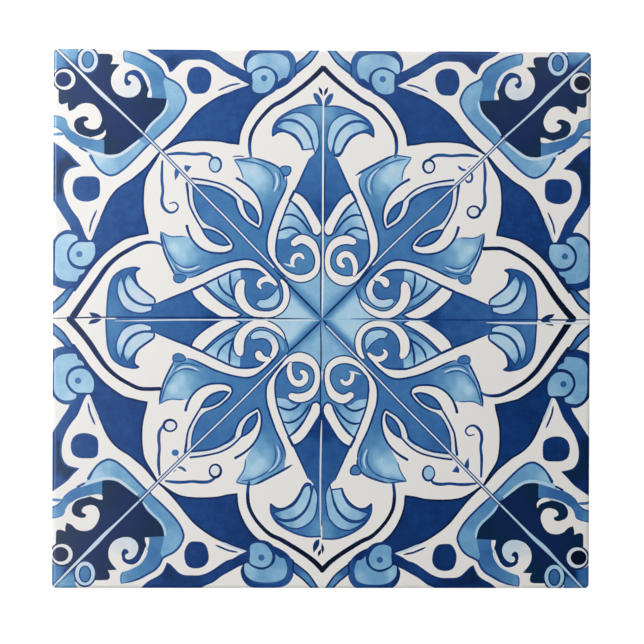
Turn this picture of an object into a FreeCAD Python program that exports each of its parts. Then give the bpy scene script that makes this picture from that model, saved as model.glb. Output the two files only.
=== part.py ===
"""Azulejo wall tile: one pressed and fired square of earthenware, glazed on its face.

The tile lies on its back. Its origin is the centre of the back, +Z points out of the glazed face,
and X and Y run along the sides. Sizes are in millimetres and angles in degrees.
"""

import FreeCAD, Part
import math
import os
import Sketcher

# Driving sizes of the tile: name, value, what it is.
SIZES = [
    ("side", 150, "length of each side of the face, before its edge is rolled"),
    ("thickness", 7, "from the back to the glazed face"),
    ("edge_round", 0.8, "radius that rolls the glazed face down into the sides"),
    ("face_corner", 0.4, "corner radius of the flat of the face, inside the rolled edge"),
    ("side_draft", 1.5, "lean of the sides, so that the tile leaves the press"),
    ("key_rim", 9, "flat rim round the keyed part of the back"),
    ("key_rib", 3, "width of the ribs between the key's recesses"),
    ("key_rows", 6, "recesses along each side of the key"),
    ("key_depth", 0.5, "depth of the recesses that the adhesive grips"),
    ("key_corner", 2, "corner radius of a recess at the back face"),
    ("key_draft", 35, "lean of the walls of a recess"),
]

# Sizes that follow from the driving ones.
FOLLOWING_SIZES = [
    ("outer_corner", "=edge_round + face_corner", "corner radius of the tile's outline"),
    ("key_cell", "=(side - 2 * key_rim - (key_rows - 1) * key_rib) / key_rows", "side of a recess"),
    ("key_pitch", "=key_cell + key_rib", "from one recess to the next"),
    ("key_first", "=key_rim + key_cell / 2 - side / 2", "middle of the first recess, from the tile's centre"),
]

SAME_PLACE = 1e-6  # two heights closer than this are one height


def make_sheet(doc):
    """The table of sizes that every feature reads."""
    sheet = doc.addObject("Spreadsheet::Sheet", "sizes")
    for row, (name, value, meaning) in enumerate(SIZES + FOLLOWING_SIZES, start=1):
        sheet.set(f"A{row}", name)
        sheet.set(f"B{row}", str(value))
        sheet.set(f"C{row}", meaning)
        sheet.setAlias(f"B{row}", name)
    doc.recompute()
    return sheet


def origin_feature(body, role):
    """A plane or axis of the body's own origin."""
    return next(f for f in body.Origin.OriginFeatures if f.Role == role)


def flat_sketch(body, name):
    """An empty sketch on the plane of the tile's back."""
    sketch = body.newObject("Sketcher::SketchObject", name)
    sketch.AttachmentSupport = [(origin_feature(body, "XY_Plane"), "")]
    sketch.MapMode = "FlatFace"
    return sketch


def draw_rounded_square(sketch, width, corner, middle):
    """A square with rounded corners about (middle, middle). The three arguments are names in the sheet."""
    sheet = sketch.Document.sizes
    start_half = sheet.get(width) / 2
    start_radius = sheet.get(corner)
    start_middle = sheet.get(middle) if middle else 0.0
    straight = start_half - start_radius

    # Four sides and four corner arcs, in turn round the square from its lower side.
    sides, arcs = [], []
    for quarter in range(4):
        turn = FreeCAD.Rotation(FreeCAD.Vector(0, 0, 1), 90 * quarter)
        centre = FreeCAD.Vector(start_middle, start_middle, 0)
        side_start = centre + turn.multVec(FreeCAD.Vector(-straight, -start_half, 0))
        side_end = centre + turn.multVec(FreeCAD.Vector(straight, -start_half, 0))
        arc_centre = centre + turn.multVec(FreeCAD.Vector(straight, -straight, 0))
        circle = Part.Circle(arc_centre, FreeCAD.Vector(0, 0, 1), start_radius)
        from_angle = math.radians(90 * (quarter - 1))
        arc = Part.ArcOfCircle(circle, from_angle, from_angle + math.pi / 2)
        sides.append(sketch.addGeometry(Part.LineSegment(side_start, side_end)))
        arcs.append(sketch.addGeometry(arc))

    first, last, middle_point = 1, 2, 3
    for quarter in range(4):
        following = sides[(quarter + 1) % 4]
        level = "Vertical" if quarter % 2 else "Horizontal"
        sketch.addConstraint(Sketcher.Constraint("Tangent", sides[quarter], last, arcs[quarter], first))
        sketch.addConstraint(Sketcher.Constraint("Tangent", arcs[quarter], last, following, first))
        sketch.addConstraint(Sketcher.Constraint(level, sides[quarter]))
    for arc in arcs[1:]:
        sketch.addConstraint(Sketcher.Constraint("Equal", arcs[0], arc))

    lower, right, upper, left = sides
    sizes = [
        ("corner", Sketcher.Constraint("Radius", arcs[0], start_radius), corner),
        ("width", Sketcher.Constraint("DistanceX", left, first, right, first, 2 * start_half), width),
        ("height", Sketcher.Constraint("DistanceY", lower, first, upper, first, 2 * start_half), width),
    ]
    root_point, root_part = -1, 1
    centre_point, centre_part = root_point, root_part
    if middle:
        centre_point = sketch.addGeometry(Part.Point(FreeCAD.Vector(start_middle, start_middle, 0)), True)
        centre_part = first
        for axis in ("X", "Y"):
            place = Sketcher.Constraint(
                "Distance" + axis, root_point, root_part, centre_point, centre_part, start_middle
            )
            sizes.append(("middle_" + axis.lower(), place, middle))
    sketch.addConstraint(
        Sketcher.Constraint("Symmetric", arcs[0], middle_point, arcs[2], middle_point, centre_point, centre_part)
    )
    for name, constraint, cell in sizes:
        index = sketch.addConstraint(constraint)
        sketch.renameConstraint(index, name)
        sketch.setExpression(f"Constraints.{name}", f"sizes.{cell}")


def press_slab(body):
    """The slab as the die presses it: the outline of the face, drawn in towards the back."""
    outline = flat_sketch(body, "face_outline")
    outline.setExpression("AttachmentOffset.Base.z", "sizes.thickness")
    draw_rounded_square(outline, "side", "outer_corner", None)
    slab = body.newObject("PartDesign::Pad", "slab")
    slab.Profile = outline
    slab.Reversed = True
    slab.setExpression("Length", "sizes.thickness")
    slab.setExpression("TaperAngle", "-sizes.side_draft")
    return slab


def roll_face_edge(body, slab):
    """Rolls the whole rim of the glazed face down into the sides."""
    sheet = body.Document.sizes
    rim = [
        f"Edge{number}"
        for number, edge in enumerate(slab.Shape.Edges, start=1)
        if all(abs(vertex.Z - sheet.thickness) < SAME_PLACE for vertex in edge.Vertexes)
    ]
    rolled = body.newObject("PartDesign::Fillet", "rolled_edge")
    rolled.Base = (slab, rim)
    rolled.setExpression("Radius", "sizes.edge_round")
    return rolled


def key_back(body):
    """The key: rows of shallow square recesses in the back, with ribs between them for the adhesive."""
    recess = flat_sketch(body, "recess_outline")
    draw_rounded_square(recess, "key_cell", "key_corner", "key_first")
    pocket = body.newObject("PartDesign::Pocket", "recess")
    pocket.Profile = recess
    pocket.Reversed = True
    pocket.setExpression("Length", "sizes.key_depth")
    pocket.setExpression("TaperAngle", "-sizes.key_draft")
    body.Document.recompute()

    grid = body.newObject("PartDesign::LinearPattern", "key_grid")
    grid.Originals = [pocket]
    for suffix, role in (("", "X_Axis"), ("2", "Y_Axis")):
        setattr(grid, "Direction" + suffix, (origin_feature(body, role), [""]))
        grid.setExpression("Length" + suffix, "(sizes.key_rows - 1) * sizes.key_pitch")
        grid.setExpression("Occurrences" + suffix, "sizes.key_rows")
    body.Tip = grid
    return grid


def recess_volume(sheet):
    """Volume that one recess takes from the slab: a rounded square that narrows over its depth."""
    def area(width, corner):
        return width**2 - (4 - math.pi) * corner**2

    def level_area(depth):
        shrink = depth * math.tan(math.radians(sheet.key_draft))
        return area(sheet.key_cell - 2 * shrink, max(sheet.key_corner - shrink, 0))

    depth = sheet.key_depth
    return depth / 6 * (level_area(0) + 4 * level_area(depth / 2) + level_area(depth))


def check(doc, body, slab_volume):
    """Stops the build if a feature failed, or if the recesses didn't cut what they should."""
    for item in doc.Objects:
        if {"Invalid", "Error"} & set(item.State):
            raise RuntimeError(f"{item.Name} failed: {item.State}")
    shape = body.Shape
    if shape.isNull() or not shape.isValid() or len(shape.Solids) != 1:
        raise RuntimeError("the tile is not one valid solid")
    sheet = doc.sizes
    expected = slab_volume - sheet.key_rows**2 * recess_volume(sheet)
    if abs(shape.Volume - expected) > 0.001 * slab_volume:
        raise RuntimeError(f"the recesses left {shape.Volume:.1f} mm3, and {expected:.1f} was expected")


def main():
    doc = FreeCAD.newDocument("azulejo_tile")
    make_sheet(doc)
    tile = doc.addObject("PartDesign::Body", "azulejo_tile")
    tile.Label = "azulejo_tile"

    slab = press_slab(tile)
    doc.recompute()
    rolled = roll_face_edge(tile, slab)
    doc.recompute()
    slab_volume = rolled.Shape.Volume
    key_back(tile)
    doc.recompute()
    check(doc, tile, slab_volume)

    os.makedirs("parts", exist_ok=True)
    tile.Shape.exportStep(f"parts/{tile.Label}.step")
    box = tile.Shape.BoundBox
    print(f"{tile.Label}: {box.XLength:.3f} x {box.YLength:.3f} x {box.ZLength:.3f} mm, "
          f"z {box.ZMin:.3f} to {box.ZMax:.3f}, {tile.Shape.Volume / 1000:.2f} cm3")


main()
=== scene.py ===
"""Azulejo tile: the fired body from the frame, dressed in its painted tin glaze.

Lengths in the painting are millimetres on the face, measured from the middle of the pattern.
"""

import math

import bpy
import numpy as np
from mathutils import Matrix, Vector
from mathutils.geometry import delaunay_2d_cdt


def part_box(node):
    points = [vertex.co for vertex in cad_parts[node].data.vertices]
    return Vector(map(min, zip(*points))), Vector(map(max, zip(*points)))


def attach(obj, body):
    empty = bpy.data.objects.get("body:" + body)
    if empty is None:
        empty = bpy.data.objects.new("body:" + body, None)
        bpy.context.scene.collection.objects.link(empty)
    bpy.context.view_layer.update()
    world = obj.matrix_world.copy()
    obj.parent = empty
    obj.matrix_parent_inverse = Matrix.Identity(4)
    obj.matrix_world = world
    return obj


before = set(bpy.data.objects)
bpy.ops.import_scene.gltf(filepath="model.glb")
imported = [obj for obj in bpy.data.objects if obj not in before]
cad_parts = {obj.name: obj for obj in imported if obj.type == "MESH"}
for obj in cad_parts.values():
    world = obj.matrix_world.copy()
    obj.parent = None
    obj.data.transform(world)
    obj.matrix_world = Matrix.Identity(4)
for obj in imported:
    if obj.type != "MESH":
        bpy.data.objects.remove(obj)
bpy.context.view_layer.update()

# The fired body
# A square of pressed buff earthenware, fired once as biscuit. Its back and the lower part of its
# sides are left bare: porous, a little sandy, with specks of grog. It is the solid of the frame.

MM = 0.001


class Shade:
    """An output of a shader node that takes part in plain arithmetic."""

    def __init__(self, socket):
        self.socket = socket

    def node(self, kind, settings=None, inputs=None, output=0):
        """Adds a node beside this one: its settings first, then its sockets, as values or links."""
        added = self.socket.id_data.nodes.new(kind)
        for name, value in (settings or {}).items():
            setattr(added, name, value)
        for name, value in (inputs or {}).items():
            if isinstance(value, Shade):
                added.id_data.links.new(value.socket, added.inputs[name])
            else:
                added.inputs[name].default_value = value
        return Shade(added.outputs[output])

    def math(self, operation, *others):
        return self.node("ShaderNodeMath", {"operation": operation}, dict(enumerate((self, *others))))

    def __add__(self, other):
        return self.math("ADD", other)

    def __mul__(self, other):
        return self.math("MULTIPLY", other)

    def __sub__(self, other):
        return self.math("SUBTRACT", other)

    def __rsub__(self, other):
        return self * -1.0 + other

    __radd__ = __add__
    __rmul__ = __mul__

    def between(self, low, high):
        """0 below low, 1 above high and a smooth rise from one to the other."""
        settings = {"interpolation_type": "SMOOTHSTEP"}
        return self.node("ShaderNodeMapRange", settings, {"Value": self, "From Min": low, "From Max": high})

    def mix(self, other, amount):
        """This colour with some of another laid over it. Either may be a plain colour."""
        inputs = {"Factor": amount, 6: self, 7: other}
        return self.node("ShaderNodeMix", {"data_type": "RGBA"}, inputs, output=2)

    def noise(self, scale, detail=2.0, roughness=0.5):
        """Noise over this place, with that many features to the metre."""
        inputs = {"Vector": self, "Scale": scale, "Detail": detail, "Roughness": roughness}
        return self.node("ShaderNodeTexNoise", None, inputs)

    def ramp(self, stops):
        """The colour at this value along a scale of (value, colour) stops."""
        shade = self.node("ShaderNodeValToRGB", None, {"Fac": self})
        scale = shade.socket.node.color_ramp
        while len(scale.elements) < len(stops):
            scale.elements.new(1.0)
        for element, (value, colour) in zip(scale.elements, stops):
            element.position = value
            element.color = (*colour, 1.0)
        return shade


def ceramic(name, **constants):
    """A new material, the place on its object as a Shade, and a function that feeds its surface."""
    material = bpy.data.materials.new(name)
    material.use_nodes = True
    nodes = material.node_tree.nodes
    surface = nodes["Principled BSDF"]
    for socket, value in constants.items():
        surface.inputs[socket.replace("_", " ")].default_value = value
    place = Shade(nodes.new("ShaderNodeTexCoord").outputs["Object"])

    def feed(**links):
        for socket, shade in links.items():
            material.node_tree.links.new(shade.socket, surface.inputs[socket.replace("_", " ")])

    return material, place, feed


BISCUIT = (0.56, 0.40, 0.28)
BISCUIT_DARK = (0.40, 0.25, 0.16)
GROG = (0.24, 0.13, 0.08, 1.0)

biscuit, place, feed = ceramic("biscuit", IOR=1.45)
clouds = place.noise(90.0, 4.0, 0.6)
sand = place.noise(2600.0, 3.0, 0.7)
specks = place.noise(900.0, 1.0).between(0.68, 0.74)
body_colour = clouds.ramp([(0.3, BISCUIT_DARK), (0.65, BISCUIT)]).mix(GROG, specks * 0.6)
pitting = sand * 0.6 + place.noise(700.0, 2.0) * 0.4
feed(
    Base_Color=body_colour,
    Roughness=sand * 0.15 + 0.8,
    Normal=pitting.node("ShaderNodeBump", None, {"Height": pitting, "Strength": 0.35, "Distance": 0.00012}),
)

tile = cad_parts["azulejo_tile"]
tile.data.materials.clear()
tile.data.materials.append(biscuit)

# The centre of the pattern
# Pale washes of cobalt, laid with a soft brush on the raw white glaze. They fill the wedges between
# the eye volutes, and run darker towards the diagonals.

# How much cobalt lies on the glaze, from none to the thickest paint.
WHITE = 0.0
MILK = 0.1
PALE = 0.25
MID = 0.66
DEEP = 0.82
INK = 0.84
NAVY = 0.92
BLACK = 1.0

# An eighth of the face lies between an arm of the pattern and the diagonal next to it. It is written as
# the way it is turned: its signs across and up the tile, and whether it stands on an upright arm.
all_eighths = [(right, up, stands) for stands in (False, True) for right in (1, -1) for up in (1, -1)]
side_arms = [eighth for eighth in all_eighths if not eighth[2]]
upright_arms = [eighth for eighth in all_eighths if eighth[2]]
painting = []  # what the brush lays down, first to last: (eighth, outline, cobalt)

CURVE_STEP = 0.6  # between the points of a smooth curve
SAME_POINT = 0.02  # points closer than this are one


def along(points, closed=False):
    """A smooth curve through given points. What follows x and y is carried along."""
    knots = np.array(points, float)
    if len(knots) < 3:
        return knots
    if closed:
        knots = np.vstack([knots[-1], knots, knots[:2]])
    else:
        knots = np.vstack([2 * knots[0] - knots[1], knots, 2 * knots[-1] - knots[-2]])
    curve = []
    for before, start, end, after in zip(knots, knots[1:], knots[2:], knots[3:]):
        gaps = [math.dist(a[:2], b[:2]) ** 0.5 for a, b in ((before, start), (start, end), (end, after))]
        first, second, third = np.maximum(gaps, 1e-3)
        leaving = (start - before) / first - (end - before) / (first + second) + (end - start) / second
        arriving = (end - start) / second - (after - start) / (second + third) + (after - end) / third
        leaving, arriving = leaving * second, arriving * second
        for part in np.linspace(0, 1, max(2, math.ceil(second**2 / CURVE_STEP)), endpoint=False):
            square, cube = part**2, part**3
            curve.append(
                (2 * cube - 3 * square + 1) * start + (cube - 2 * square + part) * leaving
                + (3 * square - 2 * cube) * end + (cube - square) * arriving
            )
    if not closed:
        curve.append(knots[-2])
    return np.array(curve)


def outline(*edges):
    """A closed outline: one smooth loop, or smooth edges with straight lines where they don't meet."""
    if len(edges) == 1:
        return along(edges[0], closed=True)
    corners = np.vstack([along(edge) for edge in edges])
    gaps = np.linalg.norm(corners - np.roll(corners, 1, axis=0), axis=1)
    return corners[gaps > SAME_POINT]


SHARP_CORNER = 0.3  # these two keep a sharp corner from being thrown far out
SHARP_SPREAD = 0.55


def shifted(loop, distance):
    """A closed outline moved outwards by a distance, or inwards if it is less than nothing."""
    forward = np.roll(loop, -1, axis=0) - loop
    forward /= np.linalg.norm(forward, axis=1)[:, None]
    backward = np.roll(forward, 1, axis=0)
    across = forward + backward
    across /= np.maximum(np.linalg.norm(across, axis=1), SHARP_CORNER)[:, None]
    spread = np.clip((across * forward).sum(axis=1), SHARP_SPREAD, 1.0)[:, None]
    x, y = loop[:, 0], loop[:, 1]
    turn = np.sign((x * np.roll(y, -1) - y * np.roll(x, -1)).sum())
    return loop + turn * distance * np.stack([across[:, 1], -across[:, 0]], axis=1) / spread


def wash(where, cobalt, *edges, ink=0.0, ink_cobalt=INK, grown=0.0):
    """Fills an outline. Cobalt is one strength, or dabs of (x, y, strength) that blend into each other."""
    loop = shifted(outline(*edges), grown) if grown else outline(*edges)
    for eighth in where:
        if ink:
            painting.append((eighth, shifted(loop, ink / 2), ink_cobalt))
            painting.append((eighth, shifted(loop, -ink / 2), cobalt))
        else:
            painting.append((eighth, loop, cobalt))


FINEST = 0.08  # least breadth that the brush leaves
TIP = 0.35  # breadth of a stroke at its ends, as a share of its full breadth
TIP_RISE = 5  # how fast the breadth grows from there along the stroke
POINT = 0.7  # how far the round end of a stroke stands out, as a share of half its breadth
INK_SPREAD = 1.4  # an inked edge makes a stroke broader by this many times its ink, both sides together


def stroke(where, cobalt, path, width=None, ink=0.0, ink_cobalt=INK, blunt=False):
    """Draws the brush along a path of (x, y) or (x, y, width), with an inked edge if that is asked for."""
    curve = along(path)
    if width is not None:
        share = np.linspace(0, 1, len(curve))
        swell = 1.0 if blunt else np.minimum(1.0, TIP + TIP_RISE * np.minimum(share, 1 - share))
        curve = np.column_stack([curve[:, :2], np.full(len(curve), width) * swell])
    step = np.gradient(curve[:, :2], axis=0)
    step /= np.linalg.norm(step, axis=1)[:, None]
    across = np.stack([-step[:, 1], step[:, 0]], axis=1)
    layers = [(INK_SPREAD * ink, ink_cobalt), (0.0, cobalt)] if ink else [(0.0, cobalt)]
    for grown, strength in layers:
        half = (np.maximum(curve[:, 2] + grown, FINEST) / 2)[:, None]
        left, right = curve[:, :2] + across * half, curve[:, :2] - across * half
        front = curve[-1, :2] + step[-1] * half[-1] * POINT
        back = curve[0, :2] - step[0] * half[0] * POINT
        loop = np.array([*left, front, *right[::-1], back])
        for eighth in where:
            painting.append((eighth, loop, strength))


def ring(middle, across, up):
    """An ellipse as an outline."""
    angles = np.linspace(0, 2 * math.pi, 20, endpoint=False)
    return np.column_stack([middle[0] + across * np.cos(angles), middle[1] + up * np.sin(angles)])


def by_diagonal(tone, shade, reach):
    """A wash that runs from its own tone to a shade towards the diagonal."""
    return lambda x, y: tone + (shade - tone) * math.exp(-(((x - y) / math.sqrt(2) / reach) ** 2))


wash(side_arms, by_diagonal(0.23, 0.64, 1.5), [(0, 0), (10.6, 10.8)],
     [(10.6, 10.8), (10.4, 9.2), (10.4, 7.4), (11, 5.3), (12.2, 3.7), (13.5, 2.4), (15.5, 0.9), (17, 0)])
wash(upright_arms, by_diagonal(0.34, 0.54, 1.6), [(0, 0), (10.9, 11)],
     [(10.9, 11), (11.3, 8.5), (11.2, 6.9), (11.4, 5.2), (12, 3.6), (13.1, 2.2), (14.6, 0)])

# The eye volutes
# Each arm of the pattern starts from a white curl that turns on itself in a disc of blue. The white
# is glaze left bare between washes, and a fine dark line is drawn along its edges. Opposite quarters
# of the tile have the same curls, and the other two have a hook in their place.

LINE = 0.56  # breadth of a line drawn with the fine brush
THIN_LINE = 0.42  # and of one drawn with its tip

side_curls = [eighth for eighth in side_arms if eighth[0] == eighth[1]]
side_hooks = [eighth for eighth in side_arms if eighth[0] != eighth[1]]
upright_curls = [eighth for eighth in upright_arms if eighth[0] == eighth[1]]
upright_hooks = [eighth for eighth in upright_arms if eighth[0] != eighth[1]]

side_ribbon_top = [
    (12.3, 8.8), (12.8, 10.2), (13.9, 11.6), (15.2, 13), (16.8, 14.4), (18.8, 15.8), (21.1, 16.4),
    (24, 16.05), (27.1, 15.3), (30.4, 14.1), (33.5, 12.6), (35.6, 11.6), (37.5, 11),
]
side_ribbon_foot = [
    (15.9, 11.9), (17.7, 13.2), (19.9, 13.6), (22.7, 13.65), (24, 13.5), (26.3, 12.7), (28.6, 11.6),
    (31.9, 10), (34.3, 8.75), (36.5, 7.8), (40, 6.5), (44.1, 4.9), (46.6, 4),
]
upright_ribbon_top = [
    (10.4, 9.8), (12, 11), (13.3, 12.1), (15.6, 13.9), (18, 15.3), (20.5, 15.7), (23.7, 15.4),
    (25.7, 14.8), (28.4, 13.9), (31.1, 12.9), (33.6, 11.7), (35.5, 10.8), (37.6, 10.2), (39.2, 10.3),
]
upright_ribbon_foot = [
    (11.9, 9), (14.1, 11.4), (16.4, 12.8), (18.9, 13.15), (21.3, 13), (24, 12.55), (26.2, 11.9),
    (28.3, 11.1), (30, 10.5), (32.5, 9.4), (35, 8.1), (38.1, 6.6), (41, 5.3), (44.4, 3.9),
]

wash(side_arms,
     [(12, 9, 0.6), (19, 11, 0.66), (20, 7, 0.66), (14.5, 7.5, 0.64), (25, 5, 0.55), (30, 4, 0.55)],
     [(10, 9.6), (9.8, 7.4), (10.2, 5.3), (11.2, 3.7), (12.5, 2.4), (15, 0.9), (16, 0.2)],
     [(16, 0.2), (29, 0.2), (36.5, 7.8)], side_ribbon_foot[9::-1], [(15.9, 11.9), (13.5, 12), (10, 9.6)])
wash(upright_arms, [(12, 5, 0.58), (16, 4, 0.56), (19, 11, 0.64), (22, 11.5, 0.64), (26, 3, 0.52)],
     [(11.2, 9.6), (10.7, 8.4), (10.6, 6.9), (10.9, 5.2), (11.5, 3.6), (12.6, 2.2), (14, 0.2)],
     [(14, 0.2), (27, 0.2), (35, 8.1)], upright_ribbon_foot[10::-1])
stroke(side_curls, 0.42,
       [(11, 8.6), (11.4, 6.6), (12.8, 4.4), (15, 3), (17.4, 2.8), (19.4, 3.5), (20.5, 4.8)], 1.3)

# The feathers
# Behind each eye, three pale bands fan out to the ribbon. A white blade lies along the arm below
# them, and the arm itself is filled with strong cobalt.

side_ribs = [
    [(25.9, 12.6), (25.9, 10.4), (25.6, 8.4), (25.1, 6.8), (24.2, 5.2)],
    [(29.3, 11), (29, 9.5), (28.2, 8.1), (26.8, 6.8), (25.2, 5.8), (24, 4.7)],
    [(33, 9.5), (31.6, 8.1), (29.8, 6.5), (28, 5.1), (26, 3.8), (23.8, 2.9)],
]
upright_ribs = [
    [(24.2, 12.4), (25, 10.8), (25.3, 9), (24.8, 7.6), (24, 6.6), (23, 5.6)],
    [(28.5, 11.1), (28.9, 9.6), (28.5, 7.8), (27.2, 6), (25.6, 4.6), (23.6, 3.4)],
    [(32.8, 9.3), (31, 7.4), (29, 5.7), (26.8, 4.2), (24.6, 3.2), (23.4, 2.4)],
]
for where, ribs in ((side_arms, side_ribs), (upright_arms, upright_ribs)):
    for near, far in zip(ribs, ribs[1:]):
        wash(where,
             [(*near[0], 0.22), (*far[0], 0.22), (*far[2], 0.33), (*near[3], 0.38), (*far[-1], 0.52)],
             near, far[::-1])
wash(side_arms, [(24, 12.5, 0.27), (24.5, 10.4, 0.36)], [(23, 13.5), (25.9, 12.7)],
     [(25.9, 12.7), (25.9, 10.4), (25.6, 8.6)], [(25.6, 8.6), (24.4, 9.7), (23.6, 10.6), (22.9, 10.7)])
wash(upright_arms, [(23, 12, 0.26), (24.5, 9.5, 0.3)], [(22, 12.8), (24.2, 12.4)],
     [(24.2, 12.4), (25, 10.8), (25.3, 9), (24.8, 7.6), (24, 6.6)],
     [(24, 6.6), (23.6, 8.4), (22.5, 9.8), (22, 12.8)])
RIB_LINES = (0.68, 0.64, 0.4)  # breadth of the lines between the bands
for where, ribs in ((side_arms, side_ribs), (upright_arms, upright_ribs)):
    for rib, breadth in zip(ribs, RIB_LINES):
        stroke(where, INK, rib, breadth)

side_blade = [(36.4, 7.7), (35.7, 6.1), (34.7, 5), (33, 3.5), (30.7, 2), (28.6, 0.8), (26.8, 0.3)]
upright_blade = [(35, 8.1), (34.3, 6.5), (32.9, 4.9), (30.9, 3.5), (28.6, 2.1), (26.6, 0.9), (25.4, 0.5)]
wash(side_arms, [(30, 0.5, 0.82), (36, 4, 0.74), (42, 2.5, 0.72), (48, 1, 0.7), (52, 1, 0.66)],
     side_blade[::-1], side_ribbon_foot[9:], [(46.6, 4), (48.5, 2), (50, 1.8), (58, 0)],
     [(58, 0), (26.8, 0)])
LOWER_LOAD = 0.04  # the lower arm took more pigment
arm_dabs = [(30, 0.5, 0.8), (36, 4, 0.71), (42, 2.5, 0.68), (48, 1, 0.66), (52, 1, 0.62)]
for eighth in upright_arms:
    load = LOWER_LOAD if eighth[1] < 0 else 0.0
    wash([eighth], [(x, y, tone + load) for x, y, tone in arm_dabs], upright_blade[::-1],
         upright_ribbon_foot[10:], [(44.4, 3.9), (46, 2.4), (50, 1.4), (58, 0)], [(58, 0), (25.4, 0)])
wash(side_arms, WHITE, [(23, 1.2), (25.5, 2.4), (27.9, 3.8), (30.3, 5.6), (32.2, 7.4), (33.7, 8.9)],
     side_blade, [(26.8, 0.3), (24.5, 0.5), (23, 1.2)], ink=LINE, grown=LINE / 2)
wash(upright_arms, WHITE,
     [(23.3, 1.5), (23.7, 2.5), (25.2, 3.1), (27.2, 4.1), (29.6, 5.5), (31.6, 7.2), (33, 9.1)],
     upright_blade, [(25.4, 0.5), (24.1, 0.7), (23.3, 1.5)], ink=LINE, grown=LINE / 2)

# The kite and the bell flowers
# A kite of blue stands on each diagonal. Its two lower corners run out into bell flowers, whose
# throats are thinned with water until they are nearly white.

wash(side_arms, [(16, 15.6, 0.64), (24, 20, 0.62), (30, 27, 0.63), (35, 34, 0.66), (28, 17, 0.6)],
     [(9.2, 9.4), (10.8, 9.2), (12.3, 9.4)], side_ribbon_top[1:10], [(30.4, 14.1), (36, 19), (33.2, 26)],
     [(33.2, 26), (35, 28.5), (36.1, 30.5), (36.7, 32.4), (37, 34.5), (37.3, 37.5)])
wash(upright_arms, [(16, 15, 0.64), (24, 19, 0.62), (30, 27, 0.63), (35, 33, 0.66), (28, 16, 0.6)],
     [(9.2, 9.4), (10.4, 9.6)], upright_ribbon_top[:10], [(31.1, 12.9), (36, 18), (34, 24)],
     [(34, 24), (35.2, 27.6), (36.2, 29.8), (36.9, 32), (37.1, 34.5), (37.3, 37.5)])
side_bell_edge = [
    (41.4, 11.8), (42, 13.2), (43.3, 15.8), (44.2, 18), (44.9, 20.6), (45.2, 22.3), (45.3, 23.9),
]
wash(side_arms,
     [(26, 17, 0.6), (30, 16.4, 0.59), (33, 16, 0.53), (34.6, 18.6, 0.46), (36.6, 17.4, 0.38),
      (39.4, 17.2, 0.26), (41.4, 19.3, 0.19), (38.4, 20.3, 0.3), (40.5, 21.9, 0.33), (36, 13.2, 0.52),
      (38.5, 12.5, 0.46), (43.4, 17, 0.48), (44, 21, 0.36), (41.4, 13.6, 0.46)],
     side_ribbon_top[8:], [(37.5, 11), (39.4, 11.6), (41.4, 11.8)], side_bell_edge,
     [(45.3, 23.9), (43.6, 22.8), (41.3, 22.4), (37.6, 22.5)], [(37.6, 22.5), (33, 20), (27, 18.6)])

# The bell's rim and fold, drawn over the wash.
BELL_LINE = 0.74
stroke(side_arms, BELL_LINE, [(33.3, 13.6), (36.1, 12.7), (38.4, 12.4), (40, 12.9), (41.6, 14.4)], 0.4)
stroke(side_arms, 0.17, [(34.4, 14.4), (36.5, 13.5), (38.6, 13.4), (40.2, 14.2), (41.3, 15.6)], 0.5)
stroke(side_arms, BELL_LINE,
       [(44.9, 23.6), (44.3, 21), (43.4, 18.4), (42.2, 16.4), (40.6, 14.8), (38.7, 14), (36.4, 14.2),
        (34.4, 15)],
       THIN_LINE)
stroke(side_arms, 0.22, [(41.2, 13.1), (42.4, 14.8), (43.5, 17), (44.4, 19.8)], THIN_LINE)
stroke(side_arms, MID, [(38.4, 22.5), (40, 22.5), (42, 22.4), (43.6, 22.8), (45, 23.7)], 0.4)
stroke(side_arms, DEEP, side_bell_edge, 0.62)
wash(side_arms, 0.6, [(38.1, 11.4), (38.7, 10.2), (40.2, 9.7), (41.5, 10.3), (41.5, 11.7), (39.8, 12)],
     ink=0.4, ink_cobalt=BELL_LINE)

# The upright bells. Below the middle of the tile they stand a little further out and closer to the arm.
LOWER_BELL = (0.8, -0.9)


def upright_bell(where, shoulder, lip, mouth, dabs, lines, button=None):
    """A bell on an upright arm: its wash, its lines as (tone, path, breadth), and perhaps a button."""
    for eighth in where:
        out, aside = LOWER_BELL if eighth[1] < 0 else (0.0, 0.0)

        def set_out(points):
            return [(x + out, y + aside, *rest) for x, y, *rest in points]

        throat = [*set_out(mouth[-1:]), (33, 18.4), (27, 17)]
        wash([eighth], [(26, 16.2, 0.6), (30, 15.4, 0.6), *set_out(dabs)], upright_ribbon_top[8:],
             set_out(shoulder), set_out(lip), set_out(mouth), throat)
        for tone, path, breadth in lines:
            stroke([eighth], tone, set_out(path), breadth)
        if button:
            wash([eighth], 0.56, set_out(button), ink=THIN_LINE, ink_cobalt=0.8)


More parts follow.
